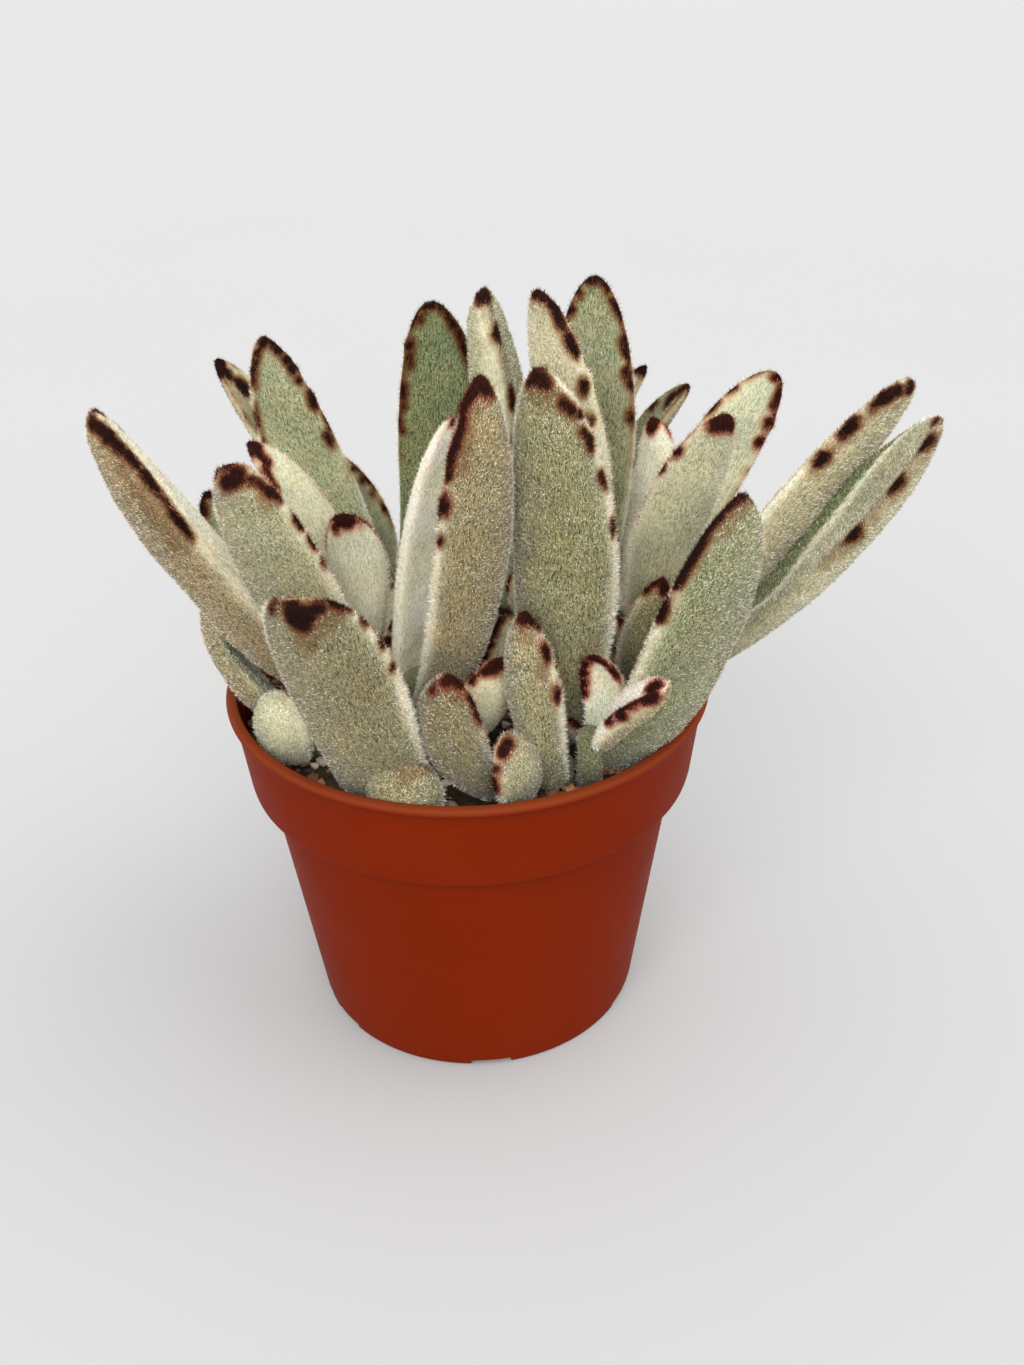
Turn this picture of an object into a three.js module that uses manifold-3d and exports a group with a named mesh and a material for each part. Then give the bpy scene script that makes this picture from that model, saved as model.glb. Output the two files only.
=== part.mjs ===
// Panda plant (Kalanchoe tomentosa) in a plastic nursery pot.
//
// Millimetres, +Z up. The origin is the centre of the pot's underside, on the surface that the pot stands on.
// The front of the plant faces -Y. The pot holds a fill of gritty compost, and short stems stand in holes in it.
// Each thick leaf is a solid of its own that clasps its stem with a small gap.

import * as THREE from "three";
import { mergeVertices } from "three/addons/utils/BufferGeometryUtils.js";
import Module from "manifold-3d";

const wasm = await Module();
wasm.setup();

// ---------------------------------------------------------------- driving dimensions

const GAP = 0.3; // clearance between pieces that touch

const POT = {
  height: 81,
  rimRadius: 52.5, // outer radius at the lip
  bandFoot: 60, // height of the collar's lower edge
  bandFootRadius: 49,
  wallRadiusUnderBand: 45.5,
  baseRadius: 37,
  wall: 1.3,
  lip: 1.0, // how far the bead of the lip stands proud
  lipHeight: 2.2,
  floorTop: 3.2, // upper side of the floor
  floor: 1.5, // thickness of the floor between the foot ring and the central pad
  footWidth: 3.2,
  padRadius: 9,
  segments: 60,
};

const DRAIN = { count: 6, radius: 3.5, ringRadius: 23 };
const FOOT_NOTCH = { count: 6, width: 9, height: 1.6, firstAngle: 33 };

const SOIL = {
  level: 71, // height of the compost's edge
  dome: 2.5, // how much higher the middle stands
  bump: 0.9, // size of the lumps
  rings: 6,
  segments: 36,
};

const STEM = { radius: 3.6, depth: 8, sides: 10 };
const stemRadius = (stem) => stem.radius ?? STEM.radius;

// Each stem stands upright at x, y, and top is the height of its tip. Young leaves grow round the tip:
// young is how many, size is the length of the lowest one, and turn is the direction that it leans in.
// A side shoot has none.
const STEMS = {
  left: { x: -22, y: -4, top: 98, young: 4, size: 15, turn: 60 },
  side: { x: -34, y: -16, top: 82, radius: 3 },
  backleft: { x: -12, y: 14, top: 98, young: 5, size: 19, turn: 20 },
  rearleft: { x: -21, y: 31, top: 90, young: 5, size: 19, turn: 60 },
  middle: { x: -10, y: -17, top: 92, young: 4, size: 14, turn: 90 },
  front: { x: -15, y: -34, top: 82 },
  sprout: { x: 7, y: -35, top: 80, radius: 2.6 },
  shoot: { x: 18, y: -33, top: 80, radius: 2.6 },
  near: { x: 17, y: -20, top: 90, young: 4, size: 16, turn: 45 },
  corner: { x: 29, y: -23, top: 84, young: 3, size: 13, turn: 80 },
  offset: { x: 23.4, y: -37, top: 89, radius: 2.4 },
  right: { x: 37, y: -3, top: 98, young: 4, size: 15, turn: 100 },
  back: { x: 12, y: 7, top: 98, young: 5, size: 19, turn: 75 },
  backright: { x: 28, y: 9, top: 98, young: 4, size: 17, turn: 90 },
  rear: { x: 6, y: 36, top: 90, young: 5, size: 18, turn: 100 },
  rearright: { x: 33, y: 26, top: 92, young: 5, size: 18, turn: 110 },
};

const YOUNG = {
  step: 137.5, // degrees from one young leaf to the next
  rise: 1.5, // how much higher each is rooted than the one before
  lean: 52, // tilt from upright of the lowest one, in degrees
  closing: 9, // how much less the next one tilts
  shrink: 0.1, // share of the length that each one loses
  width: 0.42, // of its length
  thick: 0.3,
};

// ---------------------------------------------------------------- leaves
//
// on       stem that carries the leaf
// z        height of the leaf's root
// tip      where the leaf ends
// faces    direction that the upper face looks in, in degrees from +X towards +Y
// width    widest breadth
// thick    greatest thickness
// bow      how far the middle of the leaf bulges towards its upper face
// sway     how far the middle bulges to the right of its upper face
// hook     how far the tip bends towards the upper face
// point    0.5 is a round tip and 1 is a sharp one
// neck     breadth at the root as a share of the width
// widest   where the leaf is widest, as a share of its length
// teeth    number of blunt teeth along the outer part of each edge
// channel  depth of the hollow along the upper face
// yields   leaves that press this one flat where they touch it

const LEAF_DEFAULTS = {
  bow: -1.5,
  sway: 0,
  hook: 0,
  point: 0.6,
  neck: 0.5,
  widest: 0.56,
  teeth: 4,
  channel: 1.8,
  yields: [],
};

const LEAVES = {
  left_1: {
    on: "left", z: 79, tip: [-67.5, -16, 149.5], faces: 17, width: 17.5, thick: 13.5, bow: -1.2,
    sway: 1, hook: 0, point: 0.5, neck: 0.6, widest: 0.5,
  },
  left_2: {
    on: "side", z: 81, tip: [-53, -5, 104], faces: -5, width: 12, thick: 7, bow: -3, sway: -3,
    neck: 0.4, teeth: 3,
  },
  left_3: {
    on: "left", z: 94, tip: [-41, -1, 136.5], faces: -35, width: 10.5, thick: 6, bow: 3.5, sway: -2.5,
    hook: -1.5, teeth: 3,
  },
  left_4: {
    on: "left", z: 83, tip: [-42, -26, 142], faces: 68, width: 18.6, thick: 8, bow: -3.5, sway: 1.5,
    point: 0.4, yields: ["left_1"],
  },
  left_5: {
    on: "left", z: 88, tip: [-53.5, 11, 121], faces: -50, width: 12.5, thick: 5, bow: -2.5, sway: 3,
    point: 0.5, teeth: 3, yields: ["left_1"],
  },
  left_6: {
    on: "left", z: 94, tip: [-24.5, -12, 126], faces: 100, width: 11.5, thick: 6, bow: 2.5, sway: 2,
    hook: -2, neck: 0.7, teeth: 3,
  },
  left_7: {
    on: "side", z: 75, tip: [-36, -24, 90], faces: 40, width: 15, thick: 9, point: 0.5, neck: 0.6,
    teeth: 0, yields: ["left_2"],
  },
  front_1: {
    on: "front", z: 76, tip: [-27.5, -47, 128], faces: 70, width: 23, thick: 10, bow: 1, hook: -4.5,
    sway: -0.8, point: 0.27, neck: 0.85,
  },
  front_2: {
    on: "front", z: 75, tip: [-9, -42, 85.5], faces: 80, width: 16, thick: 8, bow: -3, teeth: 0,
    yields: ["front_1"],
  },
  front_3: {
    on: "sprout", z: 76, tip: [-3, -42, 105], faces: 60, width: 13.5, thick: 8, bow: -3, sway: -3,
    neck: 0.5, widest: 0.62, teeth: 3,
  },
  middle_1: {
    on: "middle", z: 83, tip: [4, -28, 158], faces: 116, width: 14.5, thick: 9, bow: -6, sway: 0.2,
    neck: 0.65, widest: 0.6,
  },
  middle_2: {
    on: "middle", z: 83, tip: [-1, -14, 145], faces: -55, width: 12.5, thick: 7, bow: 0, sway: 1,
    neck: 0.7,
  },
  middle_3: {
    on: "middle", z: 77, tip: [7, -31, 102], faces: 105, width: 11, thick: 6, bow: -4, sway: 0.5,
    point: 0.45, teeth: 3, yields: ["shoot_2"],
  },
  middle_4: {
    on: "middle", z: 79, tip: [8, -9, 101], faces: 150, width: 10, thick: 6, bow: -2, sway: 3.5,
    teeth: 3, yields: ["middle_1"],
  },
  shoot_1: {
    on: "sprout", z: 76, tip: [7, -42, 92], faces: 145, width: 12, thick: 7, bow: -2, sway: -3,
    neck: 0.5, teeth: 3, yields: ["shoot_2", "front_3"],
  },
  shoot_2: {
    on: "shoot", z: 75, tip: [11, -33, 113], faces: 62, width: 10.5, thick: 9, bow: -1, neck: 0.55,
  },
  near_1: {
    on: "near", z: 78, tip: [14.5, -25, 158], faces: 66, width: 20.5, thick: 10, bow: 0, sway: 5,
    point: 0.55, neck: 0.7, widest: 0.52,
  },
  corner_1: {
    on: "corner", z: 75, tip: [50, -38, 138], faces: 134, width: 26, thick: 11, bow: -2.2, sway: -0.6,
    point: 0.7, neck: 0.8,
  },
  offset_1: {
    on: "offset", z: 87, tip: [23, -39, 106], faces: -110, width: 8.5, thick: 4.5, bow: -1, sway: -2,
    teeth: 3,
  },
  offset_2: {
    on: "offset", z: 87, tip: [36, -52, 107], faces: 150, width: 8.5, thick: 6.5, bow: 3, sway: -1,
    point: 0.5, neck: 0.75, teeth: 3, yields: ["offset_1", "corner_1"],
  },
  right_1: {
    on: "right", z: 80, tip: [39, -21, 113], faces: 95, width: 10.5, thick: 6, bow: -3.5, sway: -2.5,
    teeth: 3, yields: ["right_5"],
  },
  right_2: {
    on: "right", z: 91, tip: [50, -20, 147], faces: 95, width: 13.5, thick: 7, bow: 0, sway: -3,
    hook: -1.5, point: 0.55, widest: 0.6,
  },
  right_3: {
    on: "right", z: 96, tip: [42, 5, 136], faces: 30, width: 13, thick: 6.5, bow: 3, sway: -0.5,
    hook: -2, point: 0.4, neck: 0.45, teeth: 3, yields: ["right_2"],
  },
  right_4: {
    on: "right", z: 84, tip: [88.5, 1, 146], faces: 135, width: 15, thick: 8, bow: 0.5, sway: 2,
    hook: -3, point: 0.4, neck: 0.4, widest: 0.6,
  },
  right_5: {
    on: "right", z: 79, tip: [92, -15, 142], faces: 178, width: 21, thick: 9, bow: -2, channel: 3.2,
    yields: ["right_4"],
  },
  right_6: {
    on: "right", z: 92, tip: [67, 16, 141], faces: 240, width: 15, thick: 6, bow: -1, sway: 3.5,
    point: 0.5, widest: 0.6,
  },
  right_7: {
    on: "rearright", z: 92, tip: [50, 31, 134], faces: 190, width: 11.5, thick: 6, bow: 4.5, sway: 6,
    hook: -1, point: 0.55, teeth: 3, yields: ["back_4"],
  },
  backleft_1: {
    on: "rearleft", z: 86, tip: [-52, 34, 142], faces: -25, width: 12.5, thick: 6, bow: 2.5,
    sway: -1.5, neck: 0.4,
  },
  backleft_2: {
    on: "backleft", z: 86, tip: [-41, 30, 148], faces: -55, width: 17, thick: 7, bow: -2.5, sway: 3,
    neck: 0.4,
  },
  backleft_3: {
    on: "rearleft", z: 77, tip: [-32, 42, 117], faces: -95, width: 15, thick: 5.5, bow: 1.5,
    sway: -3.5, neck: 0.4, widest: 0.52, teeth: 3, yields: ["backleft_1"],
  },
  backleft_4: {
    on: "backleft", z: 93, tip: [-5, 21, 157], faces: 265, width: 18.5, thick: 7, bow: -2.5, sway: -4,
    point: 0.55,
  },
  back_1: {
    on: "back", z: 92, tip: [6, 14, 161], faces: -15, width: 14, thick: 12.5, bow: 3.5, sway: -5,
    point: 0.4,
  },
  back_2: {
    on: "backright", z: 87, tip: [16, 3, 164], faces: 60, width: 14, thick: 7.5, bow: 0, sway: 4,
    point: 0.55,
  },
  back_3: {
    on: "backright", z: 91, tip: [29, 22, 161], faces: 255, width: 18, thick: 7, bow: -0.5, sway: 0.5,
    point: 0.55,
  },
  back_4: {
    on: "rearright", z: 86, tip: [41, 35, 137], faces: 225, width: 9, thick: 6, bow: 5, sway: 8,
    hook: -1.5, teeth: 3,
  },
  rear_1: {
    on: "rearleft", z: 79, tip: [-43, 43, 99], faces: 340, width: 13, thick: 6.5, sway: 2, teeth: 3,
    yields: ["backleft_3"],
  },
  rear_2: {
    on: "rear", z: 76, tip: [-6, 61, 107], faces: 300, width: 15, thick: 7, bow: 0, sway: 2, teeth: 3,
  },
  rear_3: { on: "rear", z: 85, tip: [4, 47, 122], faces: 270, width: 13, thick: 7, teeth: 3 },
  rear_4: { on: "rear", z: 80, tip: [24, 64, 112], faces: 240, width: 14, thick: 7, teeth: 3 },
  rearright_1: {
    on: "rearright", z: 77, tip: [58, 27, 108], faces: 175, width: 13, thick: 6.5, bow: 3, sway: -4,
    neck: 0.4, teeth: 3,
  },
  rearright_2: {
    on: "rearright", z: 81, tip: [37, 57, 117], faces: 280, width: 14.5, thick: 7, bow: -1, sway: 1,
    teeth: 3,
  },
};

// ---------------------------------------------------------------- solids

// Turns a closed geometry into a manifold solid.
function solidOf(geometry) {
  const bare = geometry.clone();
  bare.deleteAttribute("normal");
  bare.deleteAttribute("uv");
  const merged = mergeVertices(bare, 1e-4);
  return new wasm.Manifold(
    new wasm.Mesh({
      numProp: 3,
      vertProperties: merged.attributes.position.array,
      triVerts: new Uint32Array(merged.index.array),
    }),
  );
}

const largest = (solid) => solid.decompose().sort((a, b) => b.volume() - a.volume())[0];

function geometryOf(solid) {
  const mesh = solid.getMesh();
  return new THREE.BufferGeometry()
    .setAttribute("position", new THREE.BufferAttribute(mesh.vertProperties, 3))
    .setIndex(new THREE.BufferAttribute(mesh.triVerts, 1));
}

// A closed solid through a list of rings with equal numbers of points. An end ring of one point closes to a tip.
function loft(rings) {
  const positions = [];
  const starts = [];
  for (const ring of rings) {
    starts.push(positions.length / 3);
    for (const p of ring) positions.push(p.x, p.y, p.z);
  }
  const index = [];
  const capRing = (start, count, flip) => {
    for (let k = 1; k < count - 1; k++) {
      if (flip) index.push(start, start + k + 1, start + k);
      else index.push(start, start + k, start + k + 1);
    }
  };
  for (let i = 0; i < rings.length - 1; i++) {
    const n = rings[i].length;
    const m = rings[i + 1].length;
    const count = Math.max(n, m);
    for (let k = 0; k < count; k++) {
      const a = starts[i] + (n === 1 ? 0 : k);
      const b = starts[i] + (n === 1 ? 0 : (k + 1) % n);
      const c = starts[i + 1] + (m === 1 ? 0 : k);
      const d = starts[i + 1] + (m === 1 ? 0 : (k + 1) % m);
      if (n > 1) index.push(a, b, c);
      if (m > 1) index.push(b, d, c);
    }
  }
  const last = rings.length - 1;
  if (rings[0].length > 1) capRing(starts[0], rings[0].length, true);
  if (rings[last].length > 1) capRing(starts[last], rings[last].length, false);
  return new THREE.BufferGeometry()
    .setAttribute("position", new THREE.Float32BufferAttribute(positions, 3))
    .setIndex(index);
}

const leafNamed = (name) => ({ ...LEAF_DEFAULTS, ...LEAVES[name] });
const radians = (degrees) => (degrees * Math.PI) / 180;
const smooth = (x) => {
  const t = Math.min(1, Math.max(0, x));
  return t * t * (3 - 2 * t);
};

// ---------------------------------------------------------------- leaf

const LEAF_SIDES = 8;
const YOUNG_SIDES = 6;
const UPPER_SHARE = 0.3; // share of the thickness above the plane of the edges
const TOOTH_DEPTH = 0.5;
const TEETH_FROM = 0.42;
const TEETH_TO = 0.94;

// Half breadth of the leaf at t, from 0 at the root to 1 at the tip, before the teeth are added.
function outline(leaf, t) {
  const half = leaf.width / 2;
  if (t < leaf.widest) return half * (leaf.neck + (1 - leaf.neck) * smooth(t / leaf.widest) ** 0.8);
  const u = (t - leaf.widest) / (1 - leaf.widest);
  return half * (1 - u * u) ** leaf.point;
}

// Height of the crenate teeth on one edge. The teeth of the two edges alternate.
function tooth(leaf, t, side) {
  if (!leaf.teeth || t < TEETH_FROM || t > TEETH_TO) return 0;
  const turn = ((t - TEETH_FROM) / (TEETH_TO - TEETH_FROM)) * leaf.teeth;
  const wave = Math.cos(2 * Math.PI * (turn + (side > 0 ? 0.5 : 0)));
  const size = TOOTH_DEPTH * Math.min(1, leaf.width / 15);
  return size * wave * smooth((t - TEETH_FROM) * 8) * smooth((TEETH_TO - t) * 12);
}

function thickness(leaf, t) {
  const root = 0.62 + 0.38 * smooth(t / 0.35);
  return leaf.thick * root * (1 - t ** 5) ** 0.55;
}

// Frame of the leaf's chord: its length, the way along it, across the blade and out of the upper face.
function leafFrame(leaf) {
  const look = new THREE.Vector3(Math.cos(radians(leaf.faces)), Math.sin(radians(leaf.faces)), 0);
  const stem = STEMS[leaf.on];
  const root = new THREE.Vector3(stem.x, stem.y, leaf.z).addScaledVector(look, -stemRadius(stem));
  const along = new THREE.Vector3(...leaf.tip).sub(root);
  const length = along.length();
  along.normalize();
  const up = look.addScaledVector(along, -look.dot(along)).normalize();
  const across = new THREE.Vector3().crossVectors(up, along);
  return { root, length, along, up, across };
}

// Point of the leaf's middle line at t.
function middle(leaf, frame, t) {
  const arch = 4 * t * (1 - t);
  return frame.root
    .clone()
    .addScaledVector(frame.along, frame.length * t)
    .addScaledVector(frame.up, leaf.bow * arch + leaf.hook * t ** 4)
    .addScaledVector(frame.across, leaf.sway * arch);
}

// Stations along the leaf: the outer ones fall on the tops and notches of the teeth.
function stations(leaf) {
  if (leaf.young) return [0, 0.35, 0.7, 0.93];
  const half = (TEETH_TO - TEETH_FROM) / (2 * Math.max(leaf.teeth, 2));
  const list = [0, 0.2];
  for (let t = TEETH_FROM; t < TEETH_TO + 1e-6; t += half) list.push(t);
  list.push(0.975);
  return list;
}

// One closed ring of the leaf's section at t, made bigger all round by swell.
function section(leaf, frame, t, swell) {
  const step = 1e-3;
  const centre = middle(leaf, frame, t);
  const ahead = middle(leaf, frame, t + step).sub(middle(leaf, frame, t - step)).normalize();
  const across = frame.across.clone().addScaledVector(ahead, -frame.across.dot(ahead)).normalize();
  const up = new THREE.Vector3().crossVectors(ahead, across);
  const half = outline(leaf, t);
  const deep = thickness(leaf, t);
  const hollow = leaf.channel * Math.min(1, half / (leaf.width / 2)) * smooth(t / 0.2);
  const ring = [];
  const sides = leaf.young ? YOUNG_SIDES : LEAF_SIDES;
  for (let k = 0; k < sides; k++) {
    const angle = (2 * Math.PI * k) / sides;
    const c = Math.cos(angle);
    const s = Math.sin(angle);
    const reach = Math.max(half + tooth(leaf, t, c) * Math.abs(c), 0.3) + swell;
    const rise = s > 0 ? deep * UPPER_SHARE * s - hollow * s ** 3 : deep * (1 - UPPER_SHARE) * s;
    ring.push(centre.clone().addScaledVector(across, reach * c).addScaledVector(up, rise + swell * s));
  }
  return ring;
}

function leafSolid(leaf, swell = 0) {
  const frame = leafFrame(leaf);
  const rings = stations(leaf).map((t) => section(leaf, frame, t, swell));
  rings.push([middle(leaf, frame, 1 + swell / frame.length)]);
  return solidOf(loft(rings));
}

// The leaf as it sits on its stem, pressed flat by its neighbours.
function seatedLeaf(leaf) {
  let solid = leafSolid(leaf).subtract(stemRoom(STEMS[leaf.on]));
  for (const name of leaf.yields) solid = solid.subtract(leafSolid(leafNamed(name), GAP));
  return largest(solid);
}

// ---------------------------------------------------------------- stems

// A round upright bar from z0 to z1 with a domed top.
function bar(x, y, radius, z0, z1) {
  const profile = [
    new THREE.Vector2(0, z0),
    new THREE.Vector2(radius, z0),
    new THREE.Vector2(radius, z1 - radius * 0.6),
    new THREE.Vector2(radius * 0.7, z1 - radius * 0.15),
    new THREE.Vector2(0, z1),
  ];
  const lathe = new THREE.LatheGeometry(profile, STEM.sides);
  lathe.rotateX(Math.PI / 2);
  lathe.translate(x, y, 0);
  return solidOf(lathe);
}

const stemFoot = SOIL.level - STEM.depth;
const stemBar = (stem) => bar(stem.x, stem.y, stemRadius(stem), stemFoot, stem.top);
const stemRoom = (stem) => bar(stem.x, stem.y, stemRadius(stem) + GAP, stemFoot - GAP, stem.top + GAP);

// The young leaves round the tip of a stem, made bigger all round by swell.
function youngLeaves(name, swell) {
  const stem = STEMS[name];
  const leaves = [];
  for (let k = 0; k < (stem.young ?? 0); k++) {
    const turn = stem.turn + k * YOUNG.step;
    const lean = radians(YOUNG.lean - k * YOUNG.closing);
    const length = stem.size * (1 - k * YOUNG.shrink);
    const z = stem.top - stemRadius(stem) - (stem.young - 1 - k) * YOUNG.rise;
    const reach = stemRadius(stem) + length * Math.sin(lean);
    const leaf = {
      ...LEAF_DEFAULTS,
      young: true,
      on: name,
      z,
      tip: [
        stem.x + reach * Math.cos(radians(turn)),
        stem.y + reach * Math.sin(radians(turn)),
        z + length * Math.cos(lean),
      ],
      faces: turn + 180,
      width: length * YOUNG.width,
      thick: length * YOUNG.thick,
      bow: -1,
      teeth: 0,
      channel: 0.4,
    };
    leaves.push(leafSolid(leaf, swell));
  }
  return leaves;
}

// Stem with its young leaves, which keep clear of the big leaves and of the stems before it.
function stemSolid(name) {
  const stem = STEMS[name];
  if (!stem.young) return stemBar(stem);
  let crown = wasm.Manifold.union(youngLeaves(name, 0));
  for (const leaf of Object.keys(LEAVES)) crown = crown.subtract(leafSolid(leafNamed(leaf), GAP));
  for (const other of Object.keys(STEMS)) {
    if (other === name) break;
    crown = crown.subtract(wasm.Manifold.union([stemRoom(STEMS[other]), ...youngLeaves(other, GAP)]));
  }
  return largest(stemBar(stem).add(crown));
}

// ---------------------------------------------------------------- pot and compost

// Outer radius of the pot's wall below the collar.
function wallRadius(z) {
  return POT.baseRadius + ((POT.wallRadiusUnderBand - POT.baseRadius) * z) / POT.bandFoot;
}

// Outer radius of the collar.
function bandRadius(z) {
  const share = (z - POT.bandFoot) / (POT.height - POT.bandFoot);
  return POT.bandFootRadius + (POT.rimRadius - POT.lip - POT.bandFootRadius) * share;
}

function potSolid() {
  const v = (r, z) => new THREE.Vector2(r, z);
  const { wall, height, bandFoot } = POT;
  const profile = [
    v(0, 0),
    v(POT.padRadius, 0),
    v(POT.padRadius + 0.8, POT.floorTop - POT.floor),
    v(wallRadius(0) - POT.footWidth - 0.8, POT.floorTop - POT.floor),
    v(wallRadius(0) - POT.footWidth, 0),
    v(wallRadius(0) - 0.8, 0),
    v(wallRadius(0), 0.8),
    v(POT.wallRadiusUnderBand, bandFoot),
    v(POT.bandFootRadius - 0.7, bandFoot),
    v(POT.bandFootRadius, bandFoot + 0.8),
    v(bandRadius(height - POT.lipHeight), height - POT.lipHeight),
    v(POT.rimRadius - 0.2, height - POT.lipHeight * 0.7),
    v(POT.rimRadius, height - POT.lipHeight * 0.35),
    v(POT.rimRadius - 0.4, height),
    v(POT.rimRadius - wall - 0.7, height),
    v(bandRadius(height - POT.lipHeight) - wall, height - POT.lipHeight),
    v(POT.bandFootRadius - wall, bandFoot + 2.4),
    v(POT.wallRadiusUnderBand - wall, bandFoot + 1.6),
    v(wallRadius(POT.floorTop) - wall, POT.floorTop),
    v(0, POT.floorTop),
  ];
  const lathe = new THREE.LatheGeometry(profile, POT.segments);
  lathe.rotateX(Math.PI / 2);
  let pot = solidOf(lathe);
  for (let i = 0; i < DRAIN.count; i++) {
    const angle = (2 * Math.PI * (i + 0.5)) / DRAIN.count;
    const hole = new THREE.CylinderGeometry(DRAIN.radius, DRAIN.radius, 12, 16);
    hole.rotateX(Math.PI / 2);
    hole.translate(DRAIN.ringRadius * Math.cos(angle), DRAIN.ringRadius * Math.sin(angle), 3);
    pot = pot.subtract(solidOf(hole));
  }
  for (let i = 0; i < FOOT_NOTCH.count; i++) {
    const turn = radians(FOOT_NOTCH.firstAngle + (360 * i) / FOOT_NOTCH.count);
    const notch = new THREE.BoxGeometry(10, FOOT_NOTCH.width, 2 * FOOT_NOTCH.height);
    notch.translate(POT.baseRadius - 1, 0, 0);
    notch.rotateZ(turn);
    pot = pot.subtract(solidOf(notch));
  }
  return pot;
}

// Height of the compost's surface: a low dome with lumps.
function soilHeight(x, y) {
  const r = Math.hypot(x, y) / POT.rimRadius;
  const lumps =
    Math.sin(0.55 * x + 1.3) * Math.cos(0.62 * y - 0.4) +
    0.6 * Math.sin(0.97 * x - 0.81 * y) +
    0.4 * Math.cos(1.35 * x + 1.13 * y + 2.0);
  return SOIL.level + SOIL.dome * (1 - r * r) + SOIL.bump * 0.5 * lumps;
}

function soilSolid() {
  const room = POT.wall + GAP;
  const bottom = POT.floorTop + GAP;
  const ring = (radius, z) => {
    const points = [];
    for (let k = 0; k < SOIL.segments; k++) {
      const a = (2 * Math.PI * k) / SOIL.segments;
      const x = radius * Math.cos(a);
      const y = radius * Math.sin(a);
      points.push(new THREE.Vector3(x, y, z === null ? soilHeight(x, y) : z));
    }
    return points;
  };
  const wide = bandRadius(SOIL.level) - room - 0.1;
  const rings = [
    ring(wallRadius(bottom) - room - 0.1, bottom),
    ring(POT.wallRadiusUnderBand - room - 0.1, POT.bandFoot + 2),
    ring(POT.bandFootRadius - room - 0.1, POT.bandFoot + 2.9),
  ];
  for (let i = 0; i < SOIL.rings; i++) rings.push(ring(wide * (1 - i / SOIL.rings), null));
  rings.push([new THREE.Vector3(0, 0, soilHeight(0, 0))]);
  let soil = solidOf(loft(rings));
  for (const stem of Object.values(STEMS)) soil = soil.subtract(stemRoom(stem));
  return soil;
}

// ---------------------------------------------------------------- assembly

const material = (color, roughness) => new THREE.MeshStandardMaterial({ color, roughness, metalness: 0 });
const TERRACOTTA = material(0xa5432a, 0.45);
const COMPOST = material(0x3a2a1f, 0.95);
const STALK = material(0x8f8a62, 0.8);
const LEAF = material(0x9aa383, 0.9);

const plant = new THREE.Group();
plant.name = "panda_plant";

function addNode(name, solid, look) {
  const mesh = new THREE.Mesh(geometryOf(solid), look);
  mesh.name = name;
  plant.add(mesh);
}

addNode("pot", potSolid(), TERRACOTTA);
addNode("compost", soilSolid(), COMPOST);
for (const name of Object.keys(STEMS)) addNode(`stem_${name}`, stemSolid(name), STALK);
for (const name of Object.keys(LEAVES)) addNode(`leaf_${name}`, seatedLeaf(leafNamed(name)), LEAF);

export default plant;
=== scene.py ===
"""Panda plant in a nursery pot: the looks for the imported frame.

The solids of the leaves, stems, pot and compost are replaced by finer meshes of the same form. Lengths in the
tables are millimetres and angles are degrees, as in the part's source. Meshes are made in metres.
"""

import math

import bpy
import numpy as np
from mathutils import Matrix


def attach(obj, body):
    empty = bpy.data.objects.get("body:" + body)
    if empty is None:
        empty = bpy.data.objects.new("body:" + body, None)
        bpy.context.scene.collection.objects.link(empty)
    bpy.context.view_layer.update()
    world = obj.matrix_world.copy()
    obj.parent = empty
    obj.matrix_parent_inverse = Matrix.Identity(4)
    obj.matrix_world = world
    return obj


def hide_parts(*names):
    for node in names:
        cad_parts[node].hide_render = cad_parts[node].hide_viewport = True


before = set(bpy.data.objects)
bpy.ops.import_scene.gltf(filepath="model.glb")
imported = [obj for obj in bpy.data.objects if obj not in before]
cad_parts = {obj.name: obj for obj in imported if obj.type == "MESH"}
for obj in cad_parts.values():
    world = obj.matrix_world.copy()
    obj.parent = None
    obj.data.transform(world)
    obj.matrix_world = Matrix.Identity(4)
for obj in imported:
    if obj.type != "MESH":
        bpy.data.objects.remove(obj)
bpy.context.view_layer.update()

MM = 0.001

# ---- the part's own dimensions

SOIL_LEVEL = 71
STEM_FOOT = 63

# heights of the pot, and its outer radii at the rim, the collar's foot, under the collar and at the base
POT = dict(
    height=81, rim=52.5, band_foot=60, band_foot_radius=49, under_band=45.5, base=37, wall=1.3, lip=1.0,
    lip_height=2.2,
)
# height of the floor's top, its thickness, the width of the foot ring and the radius of the central pad
FLOOR_TOP, FLOOR, FOOT_WIDTH, PAD = 3.2, 1.5, 3.2, 9
DRAIN = dict(count=6, radius=3.5, ring=23)
NOTCH = dict(ring=36, size=(10, 9, 3.2), first=33)

# x, y, top, then radius, and the young leaves round the tip: how many, length and direction of the lowest
STEMS = {
    "left": (-22, -4, 98, 3.6, 4, 15, 60),
    "side": (-34, -16, 82, 3.0, 0, 0, 0),
    "backleft": (-12, 14, 98, 3.6, 5, 19, 20),
    "rearleft": (-21, 31, 90, 3.6, 5, 19, 60),
    "middle": (-10, -17, 92, 3.6, 4, 14, 90),
    "front": (-15, -34, 82, 3.6, 0, 0, 0),
    "sprout": (7, -35, 80, 2.6, 0, 0, 0),
    "shoot": (18, -33, 80, 2.6, 0, 0, 0),
    "near": (17, -20, 90, 3.6, 4, 16, 45),
    "corner": (29, -23, 84, 3.6, 3, 13, 80),
    "offset": (23.4, -37, 89, 2.4, 0, 0, 0),
    "right": (37, -3, 98, 3.6, 4, 15, 100),
    "back": (12, 7, 98, 3.6, 5, 19, 75),
    "backright": (28, 9, 98, 3.6, 4, 17, 90),
    "rear": (6, 36, 90, 3.6, 5, 18, 100),
    "rearright": (33, 26, 92, 3.6, 5, 18, 110),
}

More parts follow.
